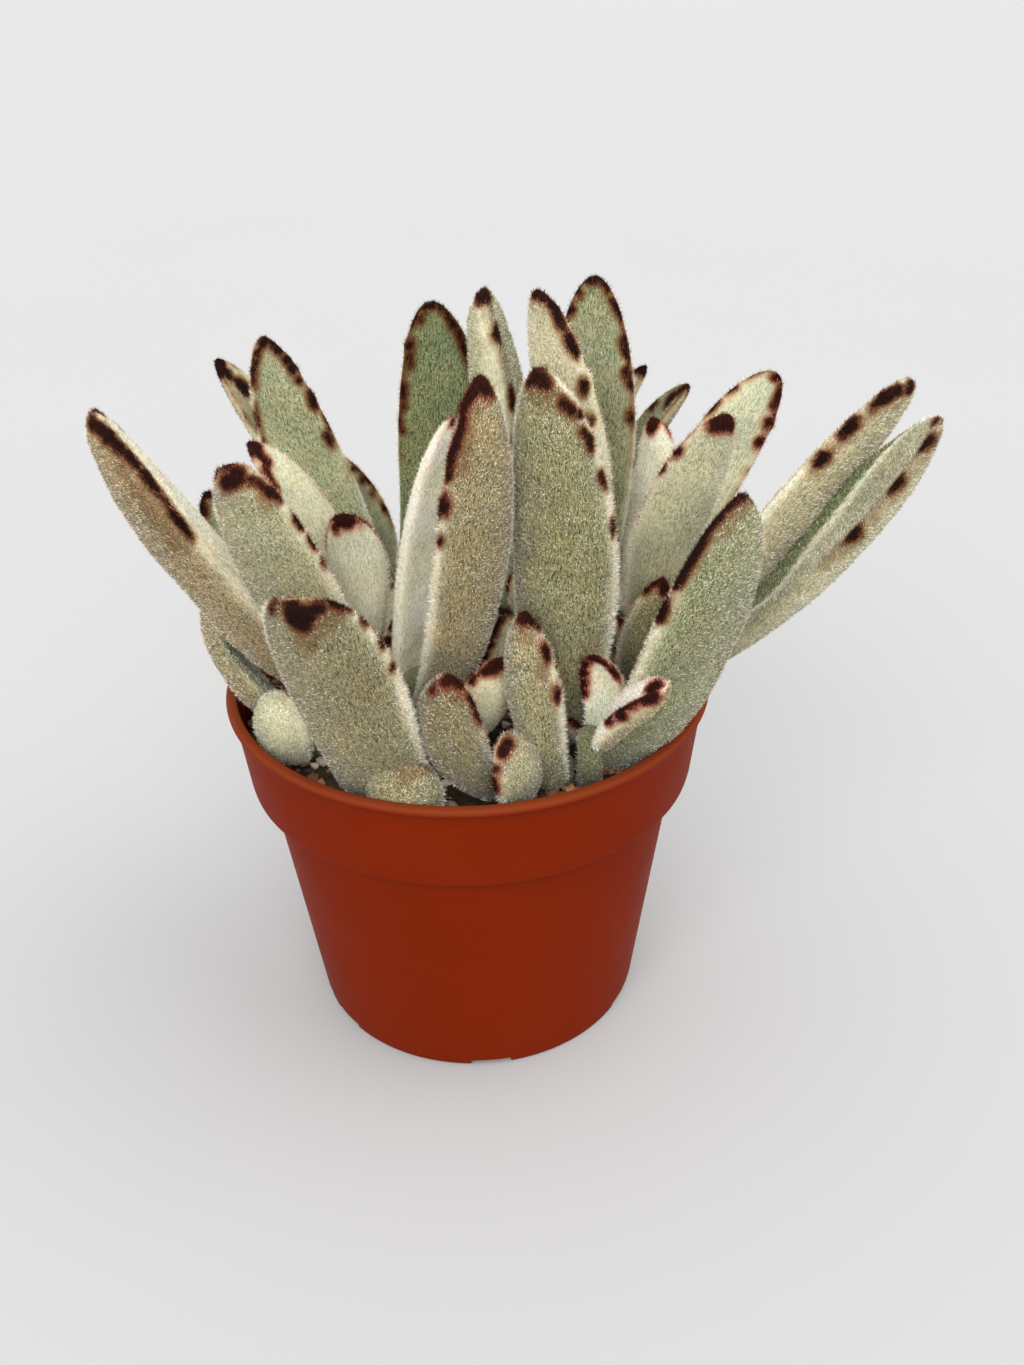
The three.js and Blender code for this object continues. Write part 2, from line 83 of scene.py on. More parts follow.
# young leaves: turn and rise from one to the next, lean of the lowest and how much each next one closes and
# shrinks, then width and thickness as shares of the length
YOUNG = dict(step=137.5, rise=1.5, lean=52, closing=9, shrink=0.1, width=0.42, thick=0.3)

# bow, sway and hook bend the middle line; point, neck and widest shape the outline; channel hollows the
# upper face
LEAF = dict(bow=-1.5, sway=0, hook=0, point=0.6, neck=0.5, widest=0.56, channel=1.8)


def leaf(on, z, tip, faces, width, thick, **more):
    """A leaf grows from a stem at height z to its tip, with its upper face turned to the direction faces."""
    return {**LEAF, "on": on, "z": z, "tip": tip, "faces": faces, "width": width, "thick": thick, **more}


LEAVES = {
    "left_1": leaf(
        "left", 79, (-67.5, -16, 149.5), 17, 17.5, 13.5, bow=-1.2, sway=1, point=0.5, neck=0.6, widest=0.5
    ),
    "left_2": leaf("side", 81, (-53, -5, 104), -5, 12, 7, bow=-3, sway=-3, neck=0.4),
    "left_3": leaf("left", 94, (-41, -1, 136.5), -35, 10.5, 6, bow=3.5, sway=-2.5, hook=-1.5),
    "left_4": leaf("left", 83, (-42, -26, 142), 68, 18.6, 8, bow=-3.5, point=0.4, sway=1.5),
    "left_5": leaf("left", 88, (-53.5, 11, 121), -50, 12.5, 5, bow=-2.5, sway=3, point=0.5),
    "left_6": leaf("left", 94, (-24.5, -12, 126), 100, 11.5, 6, bow=2.5, sway=2, hook=-2, neck=0.7),
    "left_7": leaf("side", 75, (-36, -24, 90), 40, 15, 9, point=0.5, neck=0.6),
    "front_1": leaf(
        "front", 76, (-27.5, -47, 128), 70, 23, 10, bow=1, hook=-4.5, sway=-0.8, point=0.27, neck=0.85
    ),
    "front_2": leaf("front", 75, (-9, -42, 85.5), 80, 16, 8, bow=-3),
    "front_3": leaf("sprout", 76, (-3, -42, 105), 60, 13.5, 8, bow=-3, sway=-3, widest=0.62),
    "middle_1": leaf("middle", 83, (4, -28, 158), 116, 14.5, 9, bow=-6, sway=0.2, neck=0.65, widest=0.6),
    "middle_2": leaf("middle", 83, (-1, -14, 145), -55, 12.5, 7, bow=0, sway=1, neck=0.7),
    "middle_3": leaf("middle", 77, (7, -31, 102), 105, 11, 6, bow=-4, sway=0.5, point=0.45),
    "middle_4": leaf("middle", 79, (8, -9, 101), 150, 10, 6, bow=-2, sway=3.5),
    "shoot_1": leaf("sprout", 76, (7, -42, 92), 145, 12, 7, bow=-2, sway=-3),
    "shoot_2": leaf("shoot", 75, (11, -33, 113), 62, 10.5, 9, bow=-1, neck=0.55),
    "near_1": leaf(
        "near", 78, (14.5, -25, 158), 66, 20.5, 10, bow=0, sway=5, point=0.55, neck=0.7, widest=0.52
    ),
    "corner_1": leaf("corner", 75, (50, -38, 138), 134, 26, 11, bow=-2.2, sway=-0.6, point=0.7, neck=0.8),
    "offset_1": leaf("offset", 87, (23, -39, 106), -110, 8.5, 4.5, bow=-1, sway=-2),
    "offset_2": leaf("offset", 87, (36, -52, 107), 150, 8.5, 6.5, bow=3, sway=-1, point=0.5, neck=0.75),
    "right_1": leaf("right", 80, (39, -21, 113), 95, 10.5, 6, bow=-3.5, sway=-2.5),
    "right_2": leaf(
        "right", 91, (50, -20, 147), 95, 13.5, 7, bow=0, sway=-3, hook=-1.5, point=0.55, widest=0.6
    ),
    "right_3": leaf("right", 96, (42, 5, 136), 30, 13, 6.5, bow=3, sway=-0.5, hook=-2, point=0.4, neck=0.45),
    "right_4": leaf(
        "right", 84, (88.5, 1, 146), 135, 15, 8, bow=0.5, sway=2, hook=-3, point=0.4, neck=0.4, widest=0.6
    ),
    "right_5": leaf("right", 79, (92, -15, 142), 178, 21, 9, bow=-2, channel=3.2),
    "right_6": leaf("right", 92, (67, 16, 141), 240, 15, 6, bow=-1, sway=3.5, point=0.5, widest=0.6),
    "right_7": leaf("rearright", 92, (50, 31, 134), 190, 11.5, 6, bow=4.5, sway=6, hook=-1, point=0.55),
    "backleft_1": leaf("rearleft", 86, (-52, 34, 142), -25, 12.5, 6, bow=2.5, sway=-1.5, neck=0.4),
    "backleft_2": leaf("backleft", 86, (-41, 30, 148), -55, 17, 7, bow=-2.5, sway=3, neck=0.4),
    "backleft_3": leaf(
        "rearleft", 77, (-32, 42, 117), -95, 15, 5.5, bow=1.5, sway=-3.5, neck=0.4, widest=0.52
    ),
    "backleft_4": leaf("backleft", 93, (-5, 21, 157), 265, 18.5, 7, bow=-2.5, sway=-4, point=0.55),
    "back_1": leaf("back", 92, (6, 14, 161), -15, 14, 12.5, bow=3.5, sway=-5, point=0.4),
    "back_2": leaf("backright", 87, (16, 3, 164), 60, 14, 7.5, bow=0, sway=4, point=0.55),
    "back_3": leaf("backright", 91, (29, 22, 161), 255, 18, 7, bow=-0.5, sway=0.5, point=0.55),
    "back_4": leaf("rearright", 86, (41, 35, 137), 225, 9, 6, bow=5, sway=8, hook=-1.5),
    "rear_1": leaf("rearleft", 79, (-43, 43, 99), 340, 13, 6.5, sway=2),
    "rear_2": leaf("rear", 76, (-6, 61, 107), 300, 15, 7, bow=0, sway=2),
    "rear_3": leaf("rear", 85, (4, 47, 122), 270, 13, 7),
    "rear_4": leaf("rear", 80, (24, 64, 112), 240, 14, 7),
    "rearright_1": leaf("rearright", 77, (58, 27, 108), 175, 13, 6.5, bow=3, sway=-4, neck=0.4),
    "rearright_2": leaf("rearright", 81, (37, 57, 117), 280, 14.5, 7, bow=-1, sway=1),
}

# ---- how each leaf looks
#
# outer and inner   (tan, pale) of the under and upper face: tan goes from grey-green to buff, pale to white
# lip               degrees round the section at which the upper face ends, at given shares of the length
# tip               radius of the dark cap round the very tip
# spots             dark marks: share of the length, degrees round the section and radius of each
# stains            the same for brown smears
# plus and minus    places of even spots on the margins at +across and -across, as shares of the length
# size              radius of the even spots
# line              strength of the thin brown line along the margins
# red               how red the marks are
# rim               how pale the margins are, and how broad that is: partly pale hairs, partly a painted highlight
# shade             brightness of the whole leaf: partly its own tone, partly painted light and shade
# pelt              hairs per square millimetre, and their length and width

USUAL = [0.93, 0.85, 0.76, 0.67, 0.58]
FELT = (10.6, 0.7, 0.145)
SMOOTH = (9, 0.6, 0.11)
THIN = (5, 0.8, 0.14)
LOOK = dict(
    outer=(0.5, 0.15), inner=(0.1, 0.35), lip=((0, 1), (180, 180)), tip=3.0, plus=USUAL, minus=USUAL,
    size=1.7, line=0.4, red=0.2, rim=(0.7, 0.4), shade=1, pelt=FELT,
)


def marks(rows):
    """Rows of three numbers, parted by commas, as a list of tuples."""
    return [tuple(map(float, row.split())) for row in rows.split(",") if row.strip()]


def look(spots=None, stains="", **more):
    """A leaf whose marks are placed one by one has no even spots."""
    bare = {} if spots is None else dict(plus=[], minus=[])
    return {**LOOK, **bare, "spots": marks(spots or ""), "stains": marks(stains), **more}


# the sharp white ridge of the leaf that shows its side: share of the length against degrees round the section
RIDGE = ((0.4, 0.54, 0.67, 0.8, 0.9, 1), (106, 82, 69, 52, 33, 20))

LOOKS = {
    "left_1": look(
        outer=(1, 0), rim=(0.35, 0.2), shade=0.95, inner=(0.1, 1), tip=1.2, minus=USUAL, line=0.2,
        spots="""
            .98 330 1.02, .965 350 1.02, .945 355 1.16, .915 0 1.02, .89 10 .82, .865 10 .75, .835 15 .82,
            .81 10 .75, .785 10 .61, .76 5 .54, .73 0 .61, .71 0 .68, .685 0 .54, .665 0 .34
        """,
        stains=".815 345 .88, .775 345 1.02, .735 340 1.02, .69 340 .88, .655 340 .68, .87 345 .75",
    ),
    "left_2": look(outer=(0.8, 0), rim=(0.3, 0.2), shade=0.85, tip=1.0, line=0.2, spots=""),
    "left_3": look(
        outer=(0.2, 0.7), inner=(0, 0.65), tip=1.0, red=0.7, line=0.25, pelt=SMOOTH,
        spots=".96 95 1.02, .96 50 .85, .93 80 .85, .895 80 .85, .865 45 .77, .83 40 .59, .795 40 .51",
    ),
    "left_4": look(
        outer=(0.45, 0.2), shade=0.96, rim=(0.9, 0.35), tip=1.5, red=0.4, line=0.3,
        spots="""
            .965 278 1.1, .97 130 1.14, .975 100 1.32, .975 295 1.48, .96 260 1.19, .955 60 .88,
            .95 327 .56, .93 337 .7, .905 342 .91, .88 352 .63, .8 2 .62, .775 2 .7, .725 2 .62, .705 2 .62,
            .635 2 .53
        """,
        stains=".94 255 .78, .885 322 .7",
    ),
    "left_5": look(
        outer=(0.2, 0), inner=(0.1, 0.15), tip=0.8, line=0.5, spots=".99 30 .8, .955 35 .8, .925 35 .7",
    ),
    "left_6": look(
        outer=(0.1, 1), tip=1.4, red=0.9, line=0.9,
        spots=".97 320 1.57, .985 260 1.12, .88 55 1.12, .76 50 .67, .595 45 .67, .935 235 .56",
    ),
    "left_7": look(outer=(0.25, 0.4), rim=(0.4, 0.3), tip=0, line=0.05, spots=""),
    "front_1": look(
        outer=(0.62, 0), shade=0.9, rim=(0.9, 0.35), tip=0, line=0.3,
        spots="""
            .99 200 .45, .97 215 .56, .985 260 1.46, .965 265 1.9, .95 270 1.79, .965 275 1.57,
            .98 295 1.01, .985 315 .9, .97 45 1.01, .975 15 1.12, .96 15 1.01, .935 15 .56, .865 10 .78,
            .75 0 .67, .64 355 .56
        """,
        stains=".88 270 1.23, .92 280 1.12, .95 305 1.12, .95 330 1.01",
    ),
    "front_2": look(
        outer=(0.6, 0.1), shade=0.87, tip=0, line=0.1, spots="", stains=".965 240 1.7, .865 245 1.1",
    ),
    "front_3": look(
        outer=(0.7, 0), shade=0.7, tip=1.2, red=0.5,
        spots="""
            .97 250 .6, .98 270 1.1, .99 320 1.3, .97 345 .9, .9 5 .9, .85 5 .7, .785 0 .8, .74 0 .5,
            .91 235 .7
        """,
        stains=".95 310 1.3",
    ),
    "middle_1": look(
        outer=(0.8, 0), shade=0.93, rim=(1, 0.35), tip=1.5, line=0.5, red=0.4,
        spots="""
            .985 260 1.4, .97 280 1.2, .975 225 1.2, .96 210 .94, .945 200 .94, .93 200 .85, .91 200 .77,
            .89 200 .77, .87 200 .77, .85 200 .85, .83 195 .94, .81 195 .85, .79 190 .77, .77 190 .59,
            .715 190 1.1, .7 195 .94, .68 180 .59, .615 190 .68
        """,
        stains=".93 220 .9, .89 210 .77, .85 215 .94, .81 215 .77, .96 255 1.1",
    ),
    "middle_2": look(
        outer=(0.1, 1), inner=(0, 1), shade=1.12, tip=0.6, line=0.12, red=0.9, pelt=SMOOTH, spots="",
    ),
    "middle_3": look(
        outer=(0.3, 0.5), shade=1.06, tip=1.2, red=0.7,
        spots=".96 95 1.46, .95 230 1.34, .94 70 1.12, .92 215 1.01, .85 130 .78, .83 190 .67",
    ),
    "middle_4": look(outer=(0.4, 0.5), tip=1.6, size=0.9),
    "shoot_1": look(
        outer=(0.5, 0.2), shade=0.95, tip=0, red=0.4,
        spots=".93 225 1.01, .88 210 1.01, .775 120 .67, .745 185 .67, .655 165 .9, .585 165 .9",
    ),
    "shoot_2": look(
        outer=(0.55, 0.1), shade=0.94, rim=(0.9, 0.35), tip=1.4, red=0.4,
        spots=".98 300 1.2, .97 340 1.2, .93 0 .64, .815 345 .83, .78 345 .74, .59 345 .83, .55 345 .55",
        stains=".92 310 1.38, .73 325 .74",
    ),
    "near_1": look(
        outer=(0.42, 0), shade=0.94, rim=(1, 0.35), tip=1.4, line=0.3,
        spots="""
            .985 265 1.1, .975 295 1.1, .965 303 .6, .975 245 .6, .92 323 .85, .905 333 .85, .89 348 .51,
            .85 338 .68, .835 343 .85, .815 343 .51, .745 348 .77, .725 353 .51, .64 353 .59, .62 353 .51
        """,
        stains=".955 275 1.1, .945 303 .8, .865 343 .51",
    ),
    "corner_1": look(
        outer=(0.15, 0.08), rim=(0.55, 0.25), tip=1.2, line=0.2,
        spots="""
            .99 320 .7, .995 195 1.3, .98 155 1.1, .965 165 1.1, .94 160 1.1, .92 165 1.1, .9 170 1.1,
            .875 170 1.2, .85 170 1.3, .825 170 1.3, .8 170 1.3, .775 170 1.3, .755 175 .8, .68 170 1.3,
            .66 175 1.1
        """,
        stains=".98 225 1.1, .93 205 1.1",
    ),
    "offset_1": look(
        outer=(0.3, 0.5), inner=(0.1, 0.95), shade=1.08, tip=0.6, red=0.8, line=0.5,
        spots="""
            .915 35 1.01, .995 140 .9, .96 160 .78, .775 30 .9, .63 30 .78, .46 20 .78, .9 160 .56,
            .825 165 .78, .75 155 .67
        """,
    ),
    "offset_2": look(
        outer=(0.6, -0.15), inner=(0.3, 1.15), shade=1.3, tip=0, red=0.8, line=0.2,
        spots="""
            .885 85 1.46, .9 150 1.46, .84 140 1.01, .775 140 .78, .71 135 .67, .645 140 1.01,
            .645 180 1.01, .505 160 .9
        """,
    ),
    "right_1": look(
        outer=(0.5, 0.05), tip=1.0, red=0.6, spots=".99 220 1.12, .965 280 1.12, .965 185 .9, .92 185 .67",
    ),
    "right_2": look(
        outer=(0.2, 0.4), inner=(0, 0.5), tip=1.4, red=0.6, line=0.5, pelt=(9, 0.8, 0.12),
        spots=".965 225 1.2, .98 255 1.4, .975 300 .9, .935 60 .9, .96 180 .6, .825 190 .8, .745 180 .7",
    ),
    "right_3": look(
        outer=(0.1, 0.95), shade=1.1, tip=1.2, red=0.9, line=0.5,
        spots=".98 265 1.46, .99 200 .9, .915 120 1.01, .87 110 .67, .71 110 .78",
    ),
    "right_4": look(
        outer=(0.6, 0.25), rim=(1, 0.22), tip=1.0, line=0.1,
        spots="""
            .985 260 1.1, .97 90 1, .96 215 1, .94 205 1.1, .925 200 1, .9 200 .6, .835 195 1.1,
            .815 195 .8, .795 195 .6, .725 200 1.1, .705 200 .8
        """,
        stains=".945 230 1.4, .9 200 1, .865 195 1, .8 200 1, .755 195 .8, .695 200 1",
    ),
    "right_5": look(
        outer=(0.35, 0.35), inner=(0, -0.2), shade=0.93, lip=RIDGE, tip=0.8, rim=(1, 0.1), line=0,
        spots=".95 140 1.1, .935 140 .8, .845 145 1.2, .825 145 .8, .69 145 1.3, .67 145 .8",
        stains="""
            .98 140 1.1, .915 145 1, .88 145 1, .835 145 1.2, .795 145 1.2, .75 145 1, .67 145 1.2,
            .635 145 1, .59 145 .8
        """,
    ),
    "right_6": look(
        outer=(0, 0.6), inner=(0, 0.5), tip=0.8, line=0.5, red=0.5, pelt=SMOOTH,
        spots="""
            .995 145 .42, .975 145 .51, .955 145 .59, .93 140 .77, .905 140 .59, .845 145 .85, .77 150 .77,
            .87 5 .68, .85 5 .42, .795 5 .59, .77 15 .51
        """,
    ),
    "right_7": look(
        outer=(0.2, 0.1), inner=(0.1, 0.05), tip=1.2, pelt=SMOOTH,
        spots=".95 90 .9, .91 85 .9, .88 90 .9, .8 40 .8",
    ),
    "backleft_1": look(
        outer=(0.3, 0.2), inner=(0.1, 0.4), shade=1.08, tip=1.6, line=0.4, pelt=SMOOTH,
        spots=".985 0 1.5, .965 40 1.3, .935 80 1.1, .88 95 1.1, .855 95 1.1",
        stains=".95 30 1.3, .895 45 1.5, .835 40 1.3, .78 40 1.1",
    ),
    "backleft_2": look(
        outer=(0.3, 0.1), inner=(0.1, 0.22), tip=0.8, line=0.6, pelt=SMOOTH,
        spots="""
            .985 100 .79, .975 75 .53, .955 45 .53, .935 30 .53, .91 20 .7, .87 25 .53, .785 350 .7,
            .76 355 .53, .97 130 .62, .945 140 .79, .91 140 .88, .88 140 .88, .84 140 .53, .775 150 .97,
            .75 145 .79, .635 140 .79, .615 140 .62
        """,
    ),
    "backleft_3": look(
        outer=(0, 0), inner=(0, 0.35), tip=1.2, line=0.8, pelt=SMOOTH,
        spots=".84 145 .28, .765 140 .28, .685 145 .28",
    ),
    "backleft_4": look(
        outer=(0.2, 0), inner=(0, 0), shade=0.95, rim=(0.8, 0.2), tip=0.8, line=0.7, pelt=SMOOTH,
        spots="""
            .99 50 .68, .99 110 .68, .98 160 .59, .95 150 .59, .92 140 .68, .89 145 .68, .855 145 .77,
            .825 150 .77, .795 150 .59, .95 55 .42, .865 35 .85, .83 35 .59, .795 40 .42, .715 25 .68,
            .69 25 .68, .655 30 .51, .595 15 .59, .565 25 .51
        """,
    ),
    "back_1": look(
        outer=(0.3, 0.3), inner=(0.05, 0.15), tip=1.6, line=0.2,
        spots="""
            .995 350 1.5, .985 40 .8, .89 45 1.2, .87 50 .7, .7 45 1.2, .68 40 1, .54 20 1.3, .52 25 1,
            .405 20 .5
        """,
        stains=".95 35 .8, .83 50 1, .785 45 .9, .745 45 .9, .64 35 .8, .46 25 .7",
    ),
    "back_2": look(
        outer=(0.6, 0.4), tip=1.2, line=0.4,
        spots="""
            .995 270 1.02, .98 320 .85, .96 330 .68, .945 340 .94, .92 330 .85, .9 335 .59, .875 335 .94,
            .855 335 .85, .835 340 .68, .755 330 .85, .74 325 .68, .665 325 .68
        """,
    ),
    "back_3": look(
        outer=(0.2, 0.1), inner=(0.15, 0.2), tip=0.6, line=0.7, pelt=SMOOTH,
        spots="""
            .985 65 .42, .99 105 .51, .98 135 .42, .96 145 .42, .93 150 .51, .915 160 .68, .895 165 .68,
            .81 150 .68, .785 155 .68, .72 150 .77, .69 155 .51, .59 155 .77, .945 45 .34, .9 30 .77
        """,
    ),
    "back_4": look(outer=(0.6, 0.3), tip=1.2, pelt=SMOOTH, spots=".98 20 1.1, .98 115 .9"),
}
HIDDEN_LOOK = look(pelt=THIN)
YOUNG_LOOK = look(
    outer=(0.25, 0.55), inner=(0.1, 0.65), tip=1.3, plus=[0.88, 0.7], minus=[0.8, 0.62], size=0.8, red=0.8,
    pelt=(9, 0.8, 0.13),
)

GREEN = np.array([0.345, 0.375, 0.205])
BUFF = np.array([0.52, 0.38, 0.23])
WHITE = np.array([0.87, 0.865, 0.715])
HAIR_TINT = np.array([0.93, 0.87, 0.77])

# a mark is dark where its strength is over DARK, and its halo fades over HALO millimetres; a stain is no
# stronger than STAIN
DARK, STAIN, HALO = 0.45, 0.17, 3.0
LINE_TURN, LINE_WIDTH = math.radians(18), 1.5

# ---- small helpers


def smooth(x):
    """A soft step from 0 to 1."""
    t = np.clip(x, 0, 1)
    return t * t * (3 - 2 * t)


def unit(v):
    return v / np.maximum(np.linalg.norm(v, axis=-1, keepdims=True), 1e-9)


def circle(count):
    """Even angles round a full turn."""
    return 2 * math.pi * np.arange(count) / count


def level_ring(a, radius, z, x=0, y=0):
    """Points at the angles a of a level ring."""
    return np.stack([x + radius * np.cos(a), y + radius * np.sin(a), z + 0 * a], 1)


class Waves:
    """Smooth noise from -1 to 1: a sum of sine waves in seeded directions."""

    def __init__(self, seed, size, count=7):
        r = np.random.default_rng(seed)
        self.k = unit(r.normal(size=(count, 3))) * (2 * math.pi / size) * r.uniform(0.6, 1.5, (count, 1))
        self.phase = r.uniform(0, 2 * math.pi, count)

    def __call__(self, p):
        return np.sin(p @ self.k.T + self.phase).mean(-1) * 1.6


def add(name, data):
    """A new object in the scene."""
    thing = bpy.data.objects.new(name, data)
    bpy.context.scene.collection.objects.link(thing)
    return thing


def turned(right, up, back, at):
    """The matrix of a light or a camera from its axes and its place."""
    return Matrix((*[(right[i], up[i], back[i], at[i]) for i in range(3)], (0, 0, 0, 1)))


def make_mesh(name, verts, faces, normals=None, fields=None, uv=None):
    """An object from vertices in millimetres and one array of faces per number of corners."""
    mesh = bpy.data.meshes.new(name)
    faces = [f for f in faces if len(f)]
    corners = np.concatenate([f.ravel() for f in faces]).astype(np.int32)
    counts = np.concatenate([np.full(len(f), f.shape[1]) for f in faces])
    starts = np.concatenate([[0], np.cumsum(counts)[:-1]]).astype(np.int32)
    mesh.vertices.add(len(verts))
    mesh.vertices.foreach_set("co", (verts * MM).astype(np.float32).ravel())
    mesh.loops.add(len(corners))
    mesh.loops.foreach_set("vertex_index", corners)
    mesh.polygons.add(len(starts))
    mesh.polygons.foreach_set("loop_start", starts)
    mesh.polygons.foreach_set("use_smooth", np.ones(len(starts), bool))
    mesh.update(calc_edges=True)
    if uv is not None:
        layer = mesh.uv_layers.new(name="OFBake")
        layer.data.foreach_set("uv", uv.astype(np.float32).ravel())
    for field, values in (fields or {}).items():
        values = values.astype(np.float32)
        if field == "lay":
            mesh.attributes.new(field, "FLOAT_VECTOR", "POINT").data.foreach_set("vector", values.ravel())
        elif values.ndim == 2:
            rgba = np.concatenate([values, np.ones((len(values), 1), np.float32)], 1)
            mesh.attributes.new(field, "FLOAT_COLOR", "POINT").data.foreach_set("color", rgba.ravel())
        else:
            mesh.attributes.new(field, "FLOAT", "POINT").data.foreach_set("value", values)
    if normals is not None:
        mesh.normals_split_custom_set_from_vertices(normals.astype(np.float32))
    mesh.validate()
    return add(name, mesh)


def tube(count, around):
    """Faces of a closed skin over rings of points, then a foot and a tip: quads, and a fan at each end."""
    i, j = [v.ravel() for v in np.meshgrid(np.arange(count - 1), np.arange(around), indexing="ij")]
    beside = (j + 1) % around
    low, high = i * around, (i + 1) * around
    quads = np.stack([low + j, low + beside, high + beside, high + j], 1)
    ring, last, foot = np.arange(around), (count - 1) * around, count * around
    following = (ring + 1) % around
    low = np.stack([np.full(around, foot), following, ring], 1)
    high = np.stack([np.full(around, foot + 1), last + ring, last + following], 1)
    return [quads, np.concatenate([low, high])]


def covered(rings, foot, tip):
    """Vertices and faces of a closed skin over rings of points, from a foot to a tip."""
    return np.concatenate([*rings, [foot, tip]]), tube(len(rings), len(rings[0]))


def place(piece, material, slot, *nodes):
    """Gives a piece its material and tells the frame its body and the nodes that it replaces; the slot is not
    used.
    """
    piece.data.materials.append(material)
    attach(piece, "root")
    if nodes:
        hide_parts(*nodes)


# ---- materials


class Nodes:
    """A new material and short calls that add nodes to it."""

    def __init__(self, name, roughness, specular):
        self.material = bpy.data.materials.new(name)
        self.material.use_nodes = True
        self.tree = self.material.node_tree
        self.shader = self.tree.nodes["Principled BSDF"]
        self.shader.inputs["Roughness"].default_value = roughness
        self.shader.inputs["Specular IOR Level"].default_value = specular

    def put(self, socket, value):
        """Links a socket, or sets it to a constant."""
        if isinstance(value, bpy.types.NodeSocket):
            self.tree.links.new(value, socket)
        else:
            socket.default_value = value

    def attribute(self, name, output="Fac"):
        node = self.tree.nodes.new("ShaderNodeAttribute")
        node.attribute_name = name
        return node.outputs[output]

    def coords(self):
        return self.tree.nodes.new("ShaderNodeTexCoord").outputs["Object"]

    def noise(self, scale, detail, rough, vector=None):
        node = self.tree.nodes.new("ShaderNodeTexNoise")
        self.put(node.inputs["Vector"], vector or self.coords())
        node.inputs["Scale"].default_value = scale
        node.inputs["Detail"].default_value = detail
        node.inputs["Roughness"].default_value = rough
        return node.outputs["Fac"]

    def math(self, operation, a, b):
        node = self.tree.nodes.new("ShaderNodeMath")
        node.operation = operation
        self.put(node.inputs[0], a)
        self.put(node.inputs[1], b)
        return node.outputs[0]

    def span(self, value, low, high, to_low=0.0, to_high=1.0):
        """Maps low to high on to another span, without going past its ends."""
        node = self.tree.nodes.new("ShaderNodeMapRange")
        self.put(node.inputs["Value"], value)
        for socket, number in zip(("From Min", "From Max", "To Min", "To Max"), (low, high, to_low, to_high)):
            node.inputs[socket].default_value = number
        return node.outputs["Result"]

    def mix(self, factor, a, b, blend="MIX"):
        node = self.tree.nodes.new("ShaderNodeMix")
        node.data_type = "RGBA"
        node.blend_type = blend
        self.put(node.inputs["Factor"], factor)
        self.put(node.inputs["A"], a if isinstance(a, bpy.types.NodeSocket) else (*a, 1))
        self.put(node.inputs["B"], b if isinstance(b, bpy.types.NodeSocket) else (*b, 1))
        return node.outputs["Result"]

    def bump(self, height, strength, distance):
        node = self.tree.nodes.new("ShaderNodeBump")
        self.put(node.inputs["Height"], height)
        node.inputs["Strength"].default_value = strength
        node.inputs["Distance"].default_value = distance
        self.put(self.shader.inputs["Normal"], node.outputs["Normal"])

    def colour(self, value):
        self.put(self.shader.inputs["Base Color"], value)


def felt_material():
    """Felt: tone is its colour, mark its dark spots, red their redness, and lay runs along the leaf."""
    m = Nodes("felt", 0.95, 0.10)
    tone, lay = m.attribute("tone", "Color"), m.attribute("lay", "Vector")
    mark, hair, red = [m.attribute(name) for name in ("mark", "hair", "red")]
    streak = m.noise(4.0, 3, 0.65, lay)
    fine = m.noise(10, 2, 0.6, lay)
    cloud = m.noise(160, 2, 0.5)
    fibre = m.span(m.math("ADD", m.math("MULTIPLY", streak, 0.6), m.math("MULTIPLY", fine, 0.4)), 0.41, 0.59)
    grain = m.span(m.noise(2.3, 2, 0.7, lay), 0.39, 0.61)
    pale = m.span(tone, 0.40, 0.65)
    gaps = m.mix(pale, (0.05, 0.08, 0.03), (0.50, 0.51, 0.44))
    fibres = m.mix(pale, (0.90, 0.93, 0.78), (1.2, 1.2, 1.12))
    body = m.mix(1.0, tone, m.mix(fibre, gaps, fibres), "MULTIPLY")
    roots, tips = m.mix(pale, (0.08, 0.11, 0.05), (0.45, 0.46, 0.40)), (2.85, 2.74, 2.52)
    clump = m.mix(1.0, tone, m.mix(grain, roots, tips), "MULTIPLY")
    colour = m.mix(1.0, m.mix(hair, body, clump), (0.93, 0.92, 0.88), "DARKEN")
    # hair tips are mixed towards cream: partly the hairs' own pale colour, partly painted light on the fuzz
    colour = m.mix(m.span(hair, 0.5, 1.0, 0, 0.4), colour, (0.86, 0.81, 0.71))
    warm = m.mix(1.0, colour, (1.06, 0.95, 0.84), "MULTIPLY")
    colour = m.mix(m.span(cloud, 0.35, 0.7, 0, 0.35), colour, warm)
    ragged = m.math("ADD", mark, m.span(m.mix(hair, fibre, grain), 0, 1, -0.13, 0.11))
    tint = m.mix(1.0, colour, m.mix(red, (0.72, 0.56, 0.40), (0.80, 0.50, 0.42)), "MULTIPLY")
    colour = m.mix(m.span(ragged, 0.02, 0.26), colour, tint)
    colour = m.mix(m.span(ragged, 0.15, 0.42), colour, m.mix(red, (0.10, 0.036, 0.014), (0.26, 0.030, 0.018)))
    deep = m.mix(red, (0.007, 0.003, 0.002), (0.020, 0.004, 0.003))
    bright = m.mix(red, (0.045, 0.014, 0.007), (0.11, 0.015, 0.008))
    dark = m.mix(hair, deep, bright)
    m.colour(m.mix(m.span(ragged, 0.36, 0.50), colour, dark))
    m.put(m.shader.inputs["Sheen Weight"], m.span(ragged, 0.05, 0.35, 0.22, 0.0))
    m.bump(fibre, 0.4, 0.0002)
    return m.material


